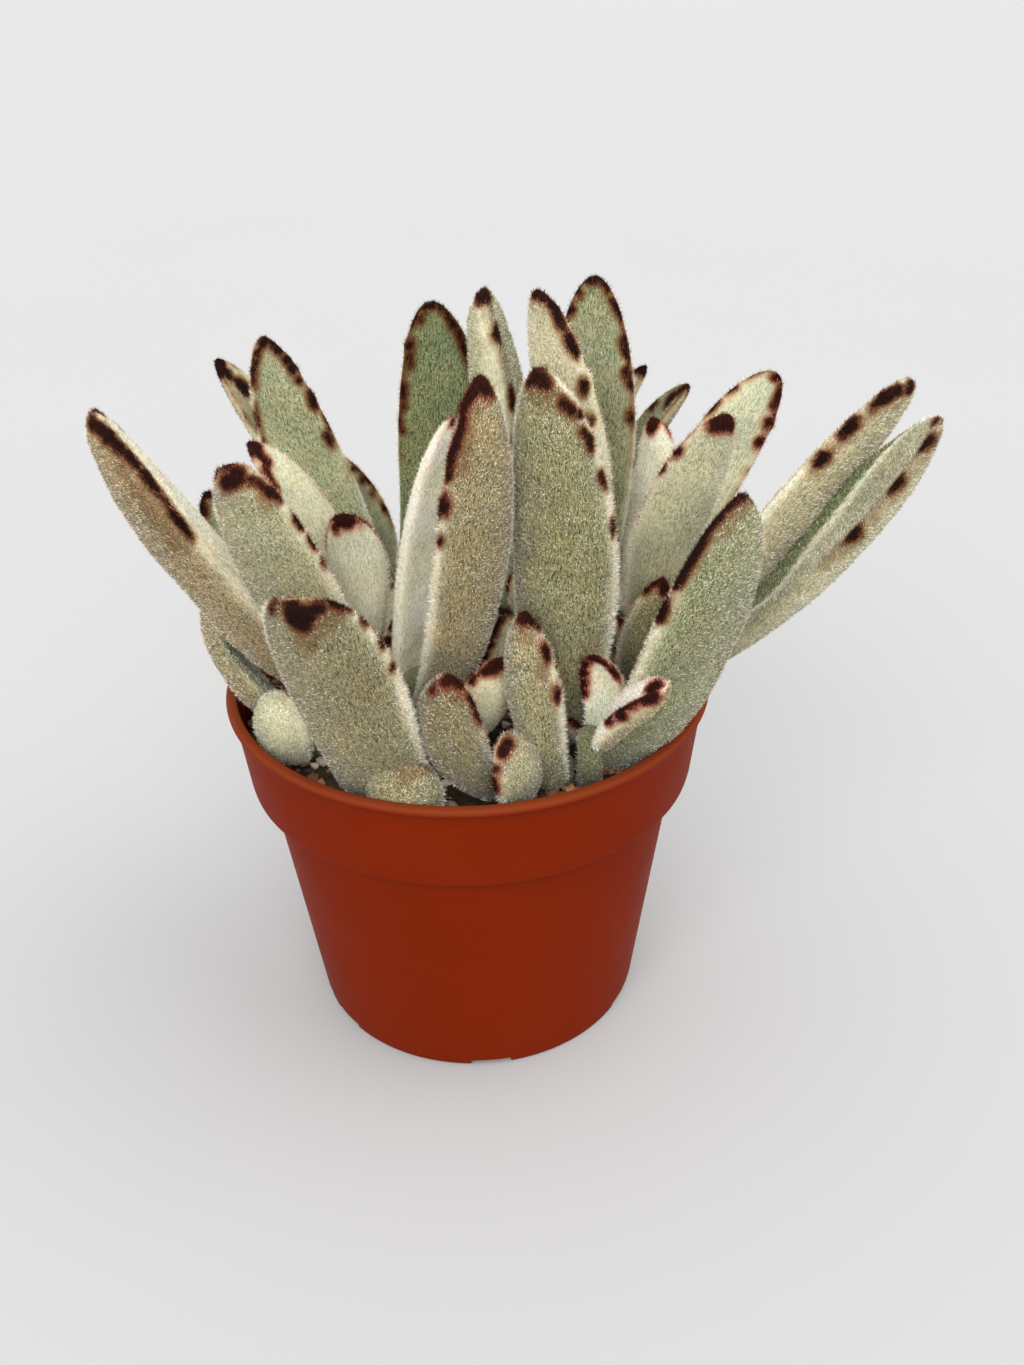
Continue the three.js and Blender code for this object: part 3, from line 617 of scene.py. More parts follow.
def pot_material():
    """Matt plastic, dusty in places, with a painted highlight along the top of the lip."""
    m = Nodes("pot_plastic", 0.5, 0.02)
    cloud = m.noise(28, 3, 0.55)
    fine = m.noise(1800, 2, 0.5)
    dust = m.noise(70, 4, 0.65)
    colour = m.mix(cloud, (0.135, 0.0105, 0.0010), (0.168, 0.0145, 0.0018))
    colour = m.mix(m.span(dust, 0.55, 0.85, 0, 0.04), colour, (0.35, 0.09, 0.04))
    height = m.tree.nodes.new("ShaderNodeSeparateXYZ")
    m.put(height.inputs["Vector"], m.coords())
    # painted highlight: the top edge of the lip is paler where it catches the light
    edge = m.span(height.outputs["Z"], (POT["height"] - 1.3) * MM, (POT["height"] - 0.4) * MM)
    colour = m.mix(edge, colour, (0.165, 0.028, 0.008))
    m.colour(colour)
    m.put(m.shader.inputs["Roughness"], m.span(dust, 0.3, 0.8, 0.42, 0.58))
    m.bump(m.math("ADD", m.math("MULTIPLY", fine, 0.5), cloud), 0.10, 0.0004)
    return m.material


def soil_material():
    """Dark compost with paler patches."""
    m = Nodes("compost_mix", 0.95, 0.15)
    grain = m.noise(520, 6, 0.7)
    patch = m.noise(90, 3, 0.5)
    colour = m.mix(grain, (0.012, 0.008, 0.005), (0.085, 0.056, 0.034))
    colour = m.mix(m.span(patch, 0.45, 0.75, 0, 0.5), colour, (0.11, 0.075, 0.045))
    m.colour(colour)
    m.bump(grain, 0.8, 0.0012)
    return m.material


def grit_material():
    """Chips of bark, peat and pumice: tone is the colour of each chip."""
    m = Nodes("grit", 0.9, 0.2)
    grain = m.noise(1400, 4, 0.65)
    speckle = m.mix(grain, (0.55, 0.55, 0.55), (1.3, 1.3, 1.3))
    m.colour(m.mix(1.0, m.attribute("tone", "Color"), speckle, "MULTIPLY"))
    m.bump(grain, 0.5, 0.0004)
    return m.material


# ---- leaf

# share of the thickness above the margins, and share of the length over which the root is rounded
UPPER_SHARE, ROOT_ROUND = 0.3, 0.07
# a margin has a blunt tooth at each spot of a radius over TOOTH_SPOT, up to LAST_TOOTH of the length
TOOTH, TOOTH_LENGTH, TOOTH_SPOT, LAST_TOOTH = 0.45, 1.6, 0.8, 0.95
LUMP, RIPPLE = 0.30, 0.10
# a hair strays SWIRL radians from the leaf's length and lifts LIFT degrees off the skin, more where it stands
SWIRL, LIFT, STAND_LIFT, SUNK = 0.42, (18, 65), 22, 0.05
HAIR_ROWS, HAIR_COLUMNS = 60, 32
# how much the grain of the felt is drawn out along the leaf, on its body and on its hairs
BODY_SQUEEZE, HAIR_SQUEEZE = 0.22, 0.45


class Blade:
    """The surface of a leaf: t runs from root to tip, a goes round the section from the +across margin."""

    def __init__(self, p, style, number):
        x, y, _, radius = STEMS[p["on"]][:4]
        self.p, self.style, self.number = p, style, number
        turn = math.radians(p["faces"])
        aim = np.array([math.cos(turn), math.sin(turn), 0.0])
        self.root = np.array([x, y, p["z"]]) - aim * radius
        along = np.array(p["tip"], float) - self.root
        self.length = np.linalg.norm(along)
        self.along = along / self.length
        self.up = unit(aim - self.along * (aim @ self.along))
        self.across = np.cross(self.up, self.along)
        self.lumps = Waves(100 + 10 * number, 14)
        self.ripple = Waves(101 + 10 * number, 5)

    def middle(self, t):
        """The middle line."""
        p = self.p
        arch = 4 * t * (1 - t)
        return (
            self.root
            + self.along * (self.length * t)[..., None]
            + self.up * (p["bow"] * arch + p["hook"] * t**4)[..., None]
            + self.across * (p["sway"] * arch)[..., None]
        )

    def half(self, t):
        """Half the width."""
        p = self.p
        rise = p["neck"] + (1 - p["neck"]) * smooth(t / p["widest"]) ** 0.8
        u = np.clip((t - p["widest"]) / (1 - p["widest"]), 0, 1)
        return p["width"] / 2 * np.where(t < p["widest"], rise, np.maximum(1 - u * u, 0) ** p["point"])

    def bumps(self, t, side):
        """Blunt teeth: the margin at this side stands out a little at each dark spot."""
        places = list(self.style["plus"] if side > 0 else self.style["minus"])
        for place, angle, radius in self.style["spots"]:
            if radius > TOOTH_SPOT and math.cos(math.radians(angle)) * side > 0.6:
                places.append(place)
        total = np.zeros_like(t)
        for place in places:
            if place < LAST_TOOTH:
                total = np.maximum(total, np.exp(-(((t - place) * self.length / TOOTH_LENGTH) ** 2)))
        return TOOTH * min(1, self.p["width"] / 15) * total

    def skin(self, t, a):
        """Points on the skin."""
        p = self.p
        step = 1e-3
        c, s = np.cos(a), np.sin(a)
        ahead = unit(self.middle(t + step) - self.middle(t - step))
        across = unit(self.across - ahead * (ahead @ self.across)[..., None])
        up = np.cross(ahead, across)
        close = np.sqrt(1 - (1 - np.clip(t / ROOT_ROUND, 0, 1)) ** 2)
        half = self.half(t)
        deep = p["thick"] * (0.62 + 0.38 * smooth(t / 0.35)) * np.maximum(1 - t**5, 0) ** 0.55
        hollow = p["channel"] * np.minimum(1, half / (p["width"] / 2)) * smooth(t / 0.2)
        teeth = self.bumps(t, 1) * np.maximum(c, 0) ** 3 + self.bumps(t, -1) * np.maximum(-c, 0) ** 3
        reach = np.maximum(half + teeth * np.minimum(1, half / 2), 0.0) * close
        full = np.sign(c) * np.abs(c) ** 0.9
        rise = np.where(s > 0, deep * UPPER_SHARE * s - hollow * s**3, deep * (1 - UPPER_SHARE) * s) * close
        flat = self.middle(t) + across * (reach * full)[..., None]
        here = flat + up * rise[..., None]
        swell = LUMP * self.lumps(here) + RIPPLE * self.ripple(here)
        return here + up * (np.sign(s) * np.abs(s) * swell * np.minimum(1, half / 4) * close)[..., None]

    def normal(self, t, a):
        e = 2e-3
        t0, t1 = np.clip(t - e, 0.004, 0.996), np.clip(t + e, 0.004, 0.996)
        n = np.cross(self.skin(t, a + 0.03) - self.skin(t, a - 0.03), self.skin(t1, a) - self.skin(t0, a))
        return unit(n)

    def local(self, here, squeeze):
        """Places along the axes of the leaf, shortened along its length and moved away for each leaf."""
        axes = np.stack([self.across, self.up, self.along * squeeze], 1)
        return (here - self.root) @ axes + 50 * self.number

    def marks(self, t, here):
        """Strength of the dark marks, their halos and the line along the margins."""
        k = self.style
        spots = [(place, 0, k["size"]) for place in k["plus"]]
        spots += [(place, 180, k["size"]) for place in k["minus"]]
        shift = 0.22 * self.ripple(here * 2)
        field = np.zeros(len(t))
        if k["tip"]:
            gap = np.linalg.norm(here - self.middle(np.array([0.985]))[0], axis=-1) + shift
            field = np.maximum(field, DARK + (k["tip"] - gap) / HALO)
        for most, rows in ((1.0, spots + k["spots"]), (STAIN, k["stains"])):
            for place, angle, radius in rows:
                gap = here - self.skin(np.array([place]), np.array([math.radians(angle)]))[0]
                along = gap @ self.along
                far = np.sqrt(np.maximum((gap**2).sum(-1) - along**2 * 0.3, 0)) + shift
                field = np.maximum(field, np.minimum(DARK + (1.05 * radius + 0.1 - far) / HALO, most))
        for side in (LINE_TURN, math.pi - LINE_TURN):
            edge = np.linalg.norm(here - self.skin(t, np.full(len(t), side)), axis=-1)
            strength = k["line"] * smooth((t - 0.3) / 0.4)
            broken = 0.65 + 0.5 * self.ripple(here)
            field = np.maximum(field, strength * np.maximum(1 - edge / LINE_WIDTH, 0) * broken)
        return np.maximum(field, 0)

    def tone(self, t, a, here):
        """Colour of the felt: the under face, the upper face and the paler rim between them, with painted
        shade and light on top.
        """

        def shade(tan, pale):
            base = GREEN + (BUFF - GREEN) * tan
            return base + (WHITE - base) * pale

        lip = np.interp(t, *self.style["lip"])
        degrees = np.degrees(a) % 360
        level = np.sin(np.where(degrees < lip, degrees / lip, 1 + (degrees - lip) / (360 - lip)) * math.pi)
        strength, breadth = self.style["rim"]
        upper = smooth(0.5 + level / (2.5 * min(breadth, 0.2)))[:, None]
        colour = shade(*self.style["outer"]) * (1 - upper) + shade(*self.style["inner"]) * upper
        # the paler rim is partly the margins' own pale hairs and partly a painted highlight of lit fuzz
        rim = np.exp(-((level / breadth) ** 2))[:, None] * strength
        colour = colour + (WHITE - colour) * rim
        drift = 1 + 0.10 * self.lumps(here)[:, None]
        warm = 1 + np.array([0.05, 0, -0.07]) * self.ripple(here * 0.5)[:, None]
        # painted shade: the leaf darkens towards its foot, where its neighbours shade it
        foot = (0.66 + 0.34 * smooth(t / 0.33))[:, None]
        # the leaf's shade factor holds painted light and shade for the whole leaf as well as its own tone
        return np.clip(colour * drift * warm * foot * self.style["shade"], 0.005, 0.9)


def body_mesh(blade, along, around):
    """The closed skin of a leaf: vertices, faces, normals, fields and UVs."""
    x = np.linspace(0, 1, along)
    rows = 0.004 + 0.992 * (0.5 * x + 0.25 * (1 - np.cos(math.pi * x)))
    t, a = [v.ravel() for v in np.meshgrid(rows, circle(around), indexing="ij")]
    verts = np.concatenate([blade.skin(t, a), blade.middle(np.array([0.0, 1.0]))])
    normals = np.concatenate([blade.normal(t, a), -blade.along[None], blade.along[None]])
    t, a = np.concatenate([t, [0, 1]]), np.concatenate([a, [0, 0]])
    quads, fans = tube(along, around)
    fields = {
        "tone": blade.tone(t, a, verts),
        "mark": blade.marks(t, verts),
        "hair": np.zeros(len(verts)),
        "red": np.full(len(verts), float(blade.style["red"])),
        "lay": blade.local(verts, BODY_SQUEEZE),
    }
    i, j, ring = quads[:, 0] // around, quads[:, 0] % around, np.arange(around)
    uv = []
    for turns, heights in (
        ([j, j + 1, j + 1, j], rows[np.stack([i, i, i + 1, i + 1], 1)]),
        ([ring + 0.5, ring + 1, ring], np.tile([0, rows[0], rows[0]], (around, 1))),
        ([ring + 0.5, ring, ring + 1], np.tile([1, rows[-1], rows[-1]], (around, 1))),
    ):
        uv.append(np.stack([np.stack(turns, 1) / around, heights], -1).reshape(-1, 2))
    return verts, [quads, fans], normals, fields, np.concatenate(uv)


def hair_uv(a, v):
    """A tiny triangle on the map for each hair."""
    u, small = a / (2 * math.pi), 0.002
    return np.stack([np.stack([u, u + small, u], 1), np.stack([v, v, v + small], 1)], -1)


def strands(r, pelt, root, n, ahead, base, mark, red, uv, stand, lay):
    """Short stiff hairs, each one slim triangle that leans ahead; those that stand are longer and paler,
    partly by a painted highlight.
    """
    _, long, wide = pelt
    count = len(root)
    side = np.cross(n, ahead)
    swirl = r.normal(0, SWIRL, count)[:, None]
    lie = ahead * np.cos(swirl) + side * np.sin(swirl)
    lift = np.radians(r.uniform(*LIFT, count) + STAND_LIFT * stand)[:, None]
    way = unit(n * np.sin(lift) + lie * np.cos(lift))
    length = long * (r.uniform(0.55, 1.25, count) * (1 + 0.3 * stand))[:, None]
    flat = unit(np.cross(way, n + 0.6 * r.normal(size=(count, 3)))) * (wide / 2)
    face = unit(np.cross(flat, way))
    sunk = root - n * SUNK
    verts = np.stack([sunk - flat, sunk + flat, root + way * length], 1).reshape(-1, 3)
    light = r.random(count)[:, None] ** 1.15
    # standing hairs along the margins are paler: partly their own pale colour, partly a painted highlight of
    # lit fuzz
    light = light + (1 - light) * 0.6 * stand[:, None]
    pale = smooth((base.mean(1, keepdims=True) - 0.36) / 0.3)
    tone = base * (0.18 + 0.5 * pale + (2.8 - 1.8 * pale) * light)
    tone = tone + (HAIR_TINT - tone) * 0.5 * light
    # each hair is dark at its root and pale at its tip: painted shade deep in the pelt and painted light on
    # the tips
    low, high = 0.45 + 0.4 * pale, 1.5 - 0.3 * pale
    tone = np.stack([tone * low, tone * low, tone * high], 1).reshape(-1, 3)
    fields = {
        "tone": np.clip(tone, 0, 0.92),
        "mark": np.repeat(mark + r.normal(0, 0.06, count), 3),
        "hair": np.tile([0.35, 0.35, 1.0], count),
        "red": np.full(len(verts), float(red)),
        "lay": np.repeat(lay, 3, 0),
    }
    faces = [np.arange(3 * count).reshape(-1, 3)]
    return verts, faces, np.repeat(unit(face + 0.5 * n), 3, 0), fields, np.clip(uv.reshape(-1, 2), 0, 1)


def hair_mesh(blade, seed):
    """The hairs of a leaf, evenly over its skin and leaning to the tip."""
    r = np.random.default_rng(seed)
    rows, angles = np.linspace(0.02, 0.998, HAIR_ROWS + 1), np.linspace(0, 2 * math.pi, HAIR_COLUMNS + 1)
    t, a = np.meshgrid(rows, angles, indexing="ij")
    grid = blade.skin(t.ravel(), a.ravel()).reshape(*t.shape, 3)
    cell = np.linalg.norm(np.cross(grid[:-1, 1:] - grid[:-1, :-1], grid[1:, :-1] - grid[:-1, :-1]), axis=-1)
    pelt = blade.style["pelt"]
    count = int(pelt[0] * cell.sum())
    pick = r.choice(cell.size, count, p=cell.ravel() / cell.sum())
    i, j = pick // HAIR_COLUMNS, pick % HAIR_COLUMNS
    t = rows[i] + (rows[i + 1] - rows[i]) * r.random(count)
    a = angles[j] + (angles[1] - angles[0]) * r.random(count)
    root, n = blade.skin(t, a), blade.normal(t, a)
    ahead = unit(blade.along - n * (n @ blade.along)[:, None])
    stand = smooth(1 - np.abs(np.sin(a)) / 0.5)
    return strands(
        r, pelt, root, n, ahead, blade.tone(t, a, root), blade.marks(t, root), blade.style["red"],
        hair_uv(a, t), stand, blade.local(root, HAIR_SQUEEZE),
    )


felt = felt_material()

for number, (name, p) in enumerate(LEAVES.items()):
    blade = Blade(p, LOOKS.get(name, HIDDEN_LOOK), number)
    rows = int(np.clip(blade.length * 0.7, 22, 52))
    skin = body_mesh(blade, rows, 72 if blade.style["lip"] is RIDGE else 36)
    place(make_mesh(f"fine_{name}", *skin), felt, "leaf", f"leaf_{name}")
    hairs = hair_mesh(blade, 500 + number)
    place(make_mesh(f"felt_{name}", *hairs), felt, "leaf")

# ---- stems with young leaves

# share of a stem's radius over which its top is rounded
ROUNDED = 0.6
STEM_BARK = np.array([0.10, 0.075, 0.045])
STEM_FELT = np.array([0.30, 0.31, 0.19])


def stem_tone(z, top):
    """Bare brown bark at the foot and green felt at the top."""
    felted = smooth((z - top + 14) / 9)[:, None]
    return STEM_BARK + (STEM_FELT - STEM_BARK) * felted


def stem_bar(x, y, radius, top, seed):
    """A round bar with rings of old leaf scars."""
    bumpy, a = Waves(seed, 6), circle(18)
    shoulder = top - radius * ROUNDED
    rings = []
    for z in (*np.linspace(STEM_FOOT, shoulder, 18), *(top - radius * np.array([0.4, 0.2, 0.06]))):
        share = np.clip((z - shoulder) / (radius * ROUNDED), 0, 1)
        r = radius * math.sqrt(max(1 - share * share, 0.02))
        level = level_ring(a, r, z, x, y)
        scar = 0.15 * math.sin(z * 1.9 + seed)
        rings.append(level + unit(level - [x, y, z]) * (0.18 * bumpy(level) + scar)[:, None])
    verts, faces = covered(rings, (x, y, STEM_FOOT), (x, y, top))
    none = np.zeros(len(verts))
    fields = {"tone": stem_tone(verts[:, 2], top), "mark": none, "hair": none, "red": none}
    return verts, faces, None, {**fields, "lay": verts * [1, 1, 0.3]}


def stem_down(x, y, radius, top, seed):
    """The hairs of a stem above the compost."""
    r = np.random.default_rng(seed)
    low, high = SOIL_LEVEL, top - radius * ROUNDED
    count = int(THIN[0] * 2 * math.pi * radius * (high - low))
    a, z = r.uniform(0, 2 * math.pi, count), r.uniform(low, high, count)
    n = np.stack([np.cos(a), np.sin(a), np.zeros(count)], 1)
    root = np.array([x, y, 0]) + n * radius
    root[:, 2] = z
    upwards, none = np.tile([0, 0, 1.0], (count, 1)), np.zeros(count)
    uv, lay = hair_uv(a, (z - low) / (high - low)), root * [1, 1, HAIR_SQUEEZE]
    return strands(r, THIN, root, n, upwards, stem_tone(z, top), none, 0, uv, none, lay)


def young_leaf(name, k):
    """The k-th leaf up in the spiral round a stem's tip."""
    x, y, top, radius, count, size, first = STEMS[name]
    turn = math.radians(first + k * YOUNG["step"])
    lean = math.radians(YOUNG["lean"] - k * YOUNG["closing"])
    length = size * (1 - k * YOUNG["shrink"])
    z = top - radius - (count - 1 - k) * YOUNG["rise"]
    reach = radius + length * math.sin(lean)
    tip = (x + reach * math.cos(turn), y + reach * math.sin(turn), z + length * math.cos(lean))
    width, thick = length * YOUNG["width"], length * YOUNG["thick"]
    return leaf(name, z, tip, math.degrees(turn) + 180, width, thick, bow=-1, channel=0.4)


def joined(sets):
    """Several meshes of one kind as one, with their maps side by side."""
    faces, maps = [], []
    for kind in range(len(sets[0][1])):
        shift, some = 0, []
        for column, (verts, group, _, _, uv) in enumerate(sets):
            some.append(group[kind] + shift)
            shift += len(verts)
            start = sum(f.size for f in group[:kind])
            part = uv[start : start + group[kind].size]
            maps.append((part + [column, 0]) / [len(sets), 1])
        faces.append(np.concatenate(some))
    verts, normals = [np.concatenate([one[k] for one in sets]) for k in (0, 2)]
    fields = {key: np.concatenate([one[3][key] for one in sets]) for key in sets[0][3]}
    return verts, faces, normals, fields, np.concatenate(maps)


for number, (name, (x, y, top, radius, count, _, _)) in enumerate(STEMS.items()):
    bar = stem_bar(x, y, radius, top, 900 + number)
    place(make_mesh(f"bark_{name}", *bar), felt, "stem", f"stem_{name}")
    fuzz = stem_down(x, y, radius, top, 950 + number)
    place(make_mesh(f"fuzz_{name}", *fuzz), felt, "stem")
    if not count:
        continue
    blades = [Blade(young_leaf(name, k), YOUNG_LOOK, 100 + 10 * number + k) for k in range(count)]
    skin = joined([body_mesh(blade, 16, 18) for blade in blades])
    place(make_mesh(f"young_{name}", *skin), felt, "leaf")
    hairs = joined([hair_mesh(blade, 2000 + 20 * number + k) for k, blade in enumerate(blades)])
    place(make_mesh(f"down_{name}", *hairs), felt, "leaf")

# ---- pot


def wall_radius(z):
    """Outer radius of the tapered wall."""
    return POT["base"] + (POT["under_band"] - POT["base"]) * z / POT["band_foot"]


def band_radius(z):
    """Outer radius of the collar."""
    share = (z - POT["band_foot"]) / (POT["height"] - POT["band_foot"])
    return POT["band_foot_radius"] + (POT["rim"] - POT["lip"] - POT["band_foot_radius"]) * share


def arc(r, z, radius, start, end, steps):
    """Points on a rounded edge in the profile's plane, from one direction to another in degrees."""
    turns = np.radians(np.linspace(start, end, steps))
    return [(r + radius * math.cos(q), z + radius * math.sin(q)) for q in turns]


def pot_profile():
    """Radius and height of the points up the outside, over the lip and down the inside."""
    h, rim, wall, foot = POT["height"], POT["rim"], POT["wall"], POT["band_foot"]
    base, band = wall_radius(0), POT["band_foot_radius"]
    line = [(PAD - 0.4, 0), (PAD, 0.3), (PAD + 0.8, FLOOR_TOP - FLOOR)]
    line += [(base - FOOT_WIDTH - 0.8, FLOOR_TOP - FLOOR), (base - FOOT_WIDTH, 0.2)]
    line += [(base - FOOT_WIDTH + 0.3, 0)]
    line += arc(base - 1.0, 1.0, 1.0, -90, -8, 6)
    line += [(wall_radius(z), z) for z in np.linspace(2.5, foot - 1.2, 16)]
    line += [(wall_radius(foot) + 0.2, foot - 0.4), (wall_radius(foot) + 0.7, foot)]
    line += arc(band - 0.9, foot + 0.9, 0.9, -90, -8, 6)
    line += [(band_radius(z), z) for z in np.linspace(foot + 2, h - POT["lip_height"] - 0.3, 8)]
    line += [(band_radius(h - POT["lip_height"]) + 0.15, h - POT["lip_height"])]
    line += arc(rim - 1.0, h - 1.0, 1.0, -70, 90, 10)
    line += arc(rim - wall - 0.6, h - 0.5, 0.5, 90, 180, 4)
    line += [(band_radius(z) - wall, z) for z in np.linspace(h - POT["lip_height"] - 0.4, foot + 3.4, 6)]
    line += [(band - wall - 0.5, foot + 2.4), (POT["under_band"] - wall + 0.2, foot + 1.6)]
    line += [(wall_radius(z) - wall, z) for z in np.linspace(foot - 1, FLOOR_TOP + 1, 4)]
    line += [(wall_radius(FLOOR_TOP) - wall - 1, FLOOR_TOP)]
    return line


def pot_piece():
    """The moulding, turned from its profile, with the drain holes and the notches of the foot cut out."""
    rings = [level_ring(circle(180), radius, z) for radius, z in pot_profile()]
    pot = make_mesh("pot_moulding", *covered(rings, (0, 0, 0), (0, 0, FLOOR_TOP)))
    cutters = []
    step = 360 / DRAIN["count"]
    for k in range(DRAIN["count"]):
        turn, reach = math.radians(step * (k + 0.5)), DRAIN["ring"] * MM
        hole_at = (reach * math.cos(turn), reach * math.sin(turn), 3 * MM)
        bpy.ops.mesh.primitive_cylinder_add(
            vertices=32, radius=DRAIN["radius"] * MM, depth=12 * MM, location=hole_at
        )
        cutters.append(bpy.context.object)
        turn, reach = math.radians(NOTCH["first"] + step * k), NOTCH["ring"] * MM
        notch_at = (reach * math.cos(turn), reach * math.sin(turn), 0)
        bpy.ops.mesh.primitive_cube_add(size=1, location=notch_at, rotation=(0, 0, turn))
        bpy.context.object.scale = [size * MM for size in NOTCH["size"]]
        cutters.append(bpy.context.object)
    for cutter in cutters:
        cut = pot.modifiers.new("cut", "BOOLEAN")
        cut.operation, cut.solver, cut.object = "DIFFERENCE", "MANIFOLD", cutter
    shape = bpy.data.meshes.new_from_object(pot.evaluated_get(bpy.context.evaluated_depsgraph_get()))
    pot.modifiers.clear()
    pot.data = shape
    for cutter in cutters:
        bpy.data.objects.remove(cutter)
    shape.set_sharp_from_angle(angle=math.radians(32))
    return pot


pot = pot_piece()
pot.data.materials.clear()
place(pot, pot_material(), "pot", "pot")

# ---- compost and grit

# a low heap in the front right: x, y, radius and height
HEAP = (26, -38, 12, 2.5)


def soil_height(x, y):
    """Height of the compost's lumpy top, without its crumbs."""
    r2 = (x * x + y * y) / POT["rim"] ** 2
    lumps = np.sin(0.55 * x + 1.3) * np.cos(0.62 * y - 0.4)
    lumps = lumps + 0.6 * np.sin(0.97 * x - 0.81 * y) + 0.4 * np.cos(1.35 * x + 1.13 * y + 2.0)
    heap = np.exp(-(((x - HEAP[0]) ** 2 + (y - HEAP[1]) ** 2) / HEAP[2] ** 2))
    return SOIL_LEVEL + 2.5 * (1 - r2) + 0.45 * lumps + HEAP[3] * heap


def soil_piece():
    """The fill: a lumpy top out to the pot's wall, a plain side and a flat underside."""
    rows, a = 44, circle(120)
    edge = band_radius(SOIL_LEVEL) - POT["wall"] - 0.35
    lump, crumb = Waves(71, 7, 12), Waves(72, 2.4, 16)
    room = POT["wall"] + 0.4
    profile = [(wall_radius(3.5) - room, 3.5), (wall_radius(30) - room, 30), (POT["under_band"] - room, 61.5)]
    profile += [(POT["band_foot_radius"] - room, 63), (edge - 0.05, 68.5)]
    rings = [level_ring(a, radius, z) for radius, z in profile]
    for radius in edge * (1 - np.arange(rows) / rows):
        top = level_ring(a, radius, 0)
        top[:, 2] = soil_height(top[:, 0], top[:, 1])
        top[:, 2] += 0.7 * lump(top) + 0.35 * crumb(top)
        rings.append(top)
    return make_mesh("compost_fill", *covered(rings, (0, 0, 3.5), (0, 0, soil_height(0, 0))))


place(soil_piece(), soil_material(), "compost", "compost")

PHI = (1 + 5**0.5) / 2
# an icosahedron
ICO = unit(np.array([
    (-1, PHI, 0), (1, PHI, 0), (-1, -PHI, 0), (1, -PHI, 0), (0, -1, PHI), (0, 1, PHI),
    (0, -1, -PHI), (0, 1, -PHI), (PHI, 0, -1), (PHI, 0, 1), (-PHI, 0, -1), (-PHI, 0, 1),
]))
ICO_FACES = np.array([
    (0, 11, 5), (0, 5, 1), (0, 1, 7), (0, 7, 10), (0, 10, 11), (1, 5, 9), (5, 11, 4), (11, 10, 2), (10, 7, 6),
    (7, 1, 8), (3, 9, 4), (3, 4, 2), (3, 2, 6), (3, 6, 8), (3, 8, 9), (4, 9, 5), (2, 4, 11), (6, 2, 10),
    (8, 6, 7), (9, 8, 1),
])
DARK_CHIP, BARK_CHIP, STONE = (0.045, 0.028, 0.016), (0.30, 0.15, 0.07), (0.60, 0.54, 0.42)

# x, y and radius of the larger pale stones
STONES = [
    (14.2, -42.5, 1.3), (16.3, -43.5, 1.1), (12.2, -43.8, 0.9), (23.5, -33, 1.2), (29.5, -35.5, 1.2),
    (-20, -44, 1),
]
CHIPS, HEAPED_CHIPS = 1500, 260


def grit_piece(count, heaped, seed):
    """Loose chips on the compost: irregular lumps half sunk into it, and more of them on the heap."""
    r = np.random.default_rng(seed)
    verts, faces, tones = [], [], []

    def chip(x, y, lift, size, colour):
        shape = ICO * r.uniform(0.72, 1.25, (12, 1)) * [1.3, 1.0, 0.7] * size
        turn, tilt = r.uniform(0, 6.28), r.uniform(-0.7, 0.7)
        spin = np.array(Matrix.Rotation(turn, 3, "Z") @ Matrix.Rotation(tilt, 3, "X"))
        faces.append(ICO_FACES + 12 * len(verts))
        verts.append(shape @ spin.T + [x, y, float(soil_height(x, y)) + lift + size * 0.35])
        tones.append(np.tile(np.array(colour) * r.uniform(0.6, 1.4), (12, 1)))

    for k in range(count):
        radius = 47.5 * math.sqrt(r.random())
        turn = r.uniform(0, 2 * math.pi)
        kind = r.random()
        pebbles = 0.22 if math.cos(turn + 1.0) > 0.2 else 0.08
        if kind < pebbles:
            colour, size = STONE, r.uniform(0.5, 1.5)
        elif kind < 0.4:
            colour, size = BARK_CHIP, r.uniform(0.5, 1.6)
        else:
            colour, size = DARK_CHIP, r.uniform(0.4, 1.3)
        chip(radius * math.cos(turn), radius * math.sin(turn), 0, size, colour)
    for k in range(heaped):
        radius, turn = r.uniform(40, 48.3), math.radians(r.uniform(-82, -30))
        colour = (DARK_CHIP, BARK_CHIP, BARK_CHIP)[r.integers(3)]
        chip(radius * math.cos(turn), radius * math.sin(turn), r.uniform(0, 2.2), r.uniform(0.5, 1.2), colour)
    for x, y, size in STONES:
        chip(x, y, 1.2, size, STONE)
    tones = {"tone": np.concatenate(tones)}
    piece = make_mesh("grit_chips", np.concatenate(verts), [np.concatenate(faces)], None, tones)
    piece.data.polygons.foreach_set("use_smooth", np.zeros(len(piece.data.polygons), bool))
    return piece


place(grit_piece(CHIPS, HEAPED_CHIPS, 5), grit_material(), "compost")

# ---- floor, lights and camera

FLOOR_SIZE = 12000
FLOOR_FADE = (2.3, 5.5)  # metres from the part


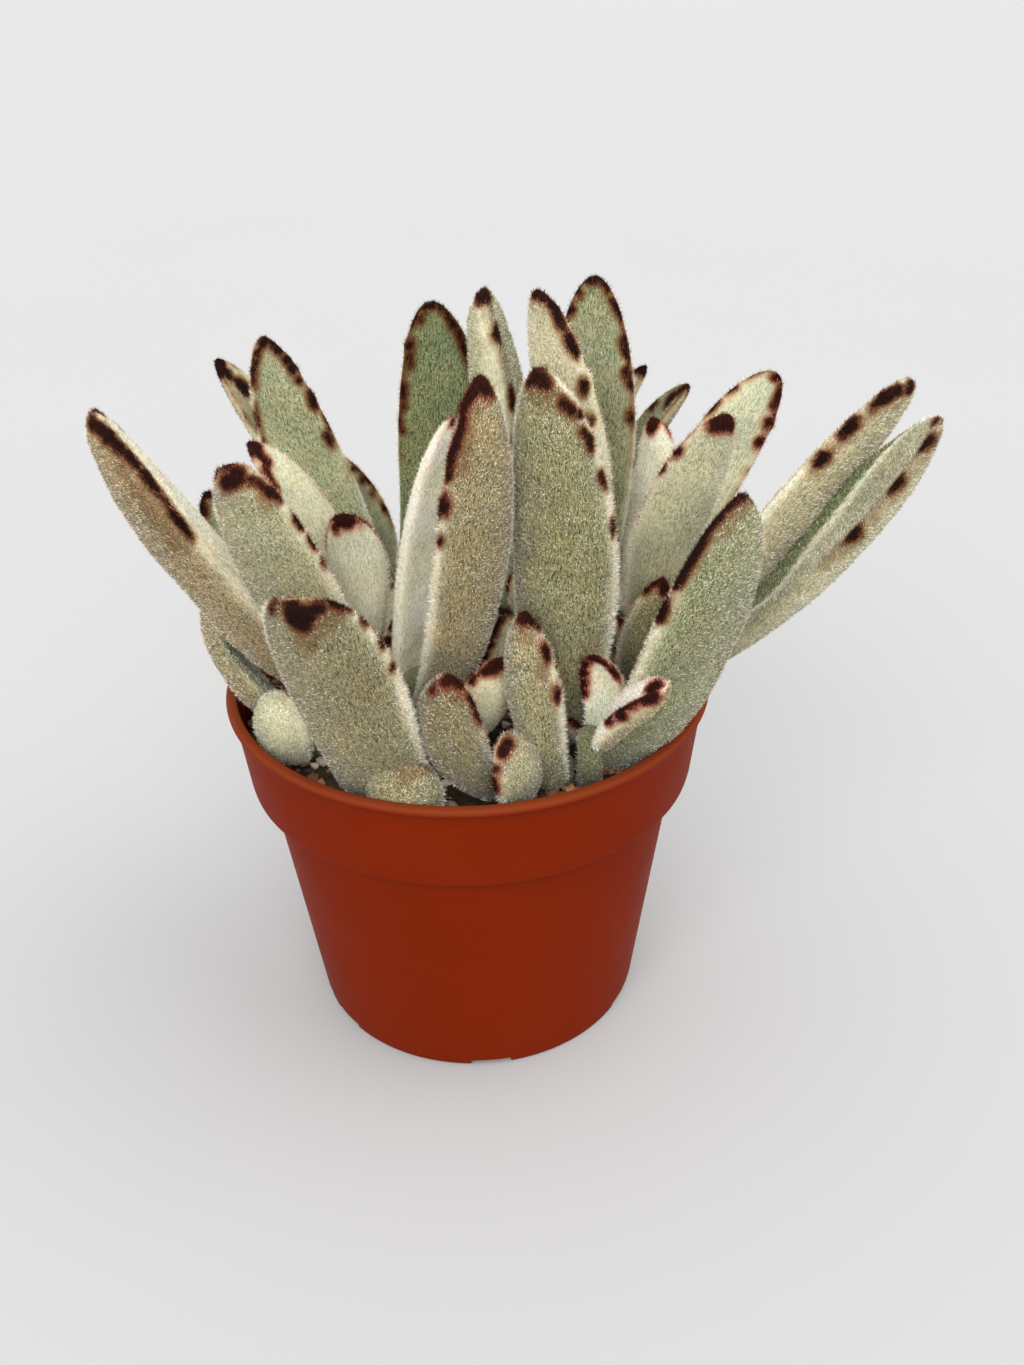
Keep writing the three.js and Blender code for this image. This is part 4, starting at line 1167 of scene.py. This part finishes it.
def floor_piece():
    """A wide pale floor that is lighter far from the part."""
    m = Nodes("studio_floor", 0.9, 0.1)
    near = m.mix(m.noise(3, 2, 0.5), (0.42, 0.42, 0.42), (0.435, 0.435, 0.435))
    reach = m.tree.nodes.new("ShaderNodeVectorMath")
    reach.operation = "LENGTH"
    m.put(reach.inputs[0], m.coords())
    m.colour(m.mix(m.span(reach.outputs["Value"], *FLOOR_FADE), near, (0.62, 0.62, 0.62)))
    corners = np.array([[-1, -1, 0], [1, -1, 0], [1, 1, 0], [-1, 1, 0]]) * FLOOR_SIZE / 2
    floor = make_mesh("studio_floor", corners, [np.array([[0, 1, 2, 3]])])
    floor.data.materials.append(m.material)


def sun_light(name, at, spread, power):
    """A soft sun that shines from one direction on the part and the floor alike."""
    data = bpy.data.lights.new(name, "SUN")
    data.angle = math.radians(spread)
    data.energy = power
    back = unit(np.array(at, float))
    right = unit(np.cross([0, 0, 1.0], back))
    add(name, data).matrix_world = turned(right, np.cross(back, right), back, at)


floor_piece()
sun_light("key", (-0.35, -0.75, 0.62), 30, 1.1)
sun_light("fill", (0.1, -0.8, 0.55), 30, 1.0)
sun_light("top", (0.55, -0.1, 0.8), 50, 0.7)
world = bpy.data.worlds.new("studio")
bpy.context.scene.world = world
world.use_nodes = True
background = world.node_tree.nodes["Background"].inputs
background["Color"].default_value = (1, 1, 1, 1)
background["Strength"].default_value = 1.3
bpy.context.scene.view_settings.view_transform = "Standard"

# the place in metres, the turns in degrees, the focal length and the picture's height in pixels
CAMERA_AT = (0, -0.2837, 0.2465)
YAW, PITCH, ROLL = map(math.radians, (1.93, 30.71, -1.2))
FOCAL, HEIGHT, SENSOR = 1500, 1365, 36


def camera():
    """The camera of the main view."""
    ahead = np.array([math.sin(YAW) * math.cos(PITCH), math.cos(YAW) * math.cos(PITCH), -math.sin(PITCH)])
    level = np.array([math.cos(YAW), -math.sin(YAW), 0])
    upright = np.cross(level, ahead)
    right = level * math.cos(ROLL) + upright * math.sin(ROLL)
    up = -level * math.sin(ROLL) + upright * math.cos(ROLL)
    data = bpy.data.cameras.new("camera")
    data.sensor_width = SENSOR
    data.lens = FOCAL / HEIGHT * SENSOR
    data.clip_start, data.clip_end = 0.01, 50
    bpy.context.scene.camera = add("camera", data)
    bpy.context.scene.camera.matrix_world = turned(right, up, -ahead, CAMERA_AT)


camera()
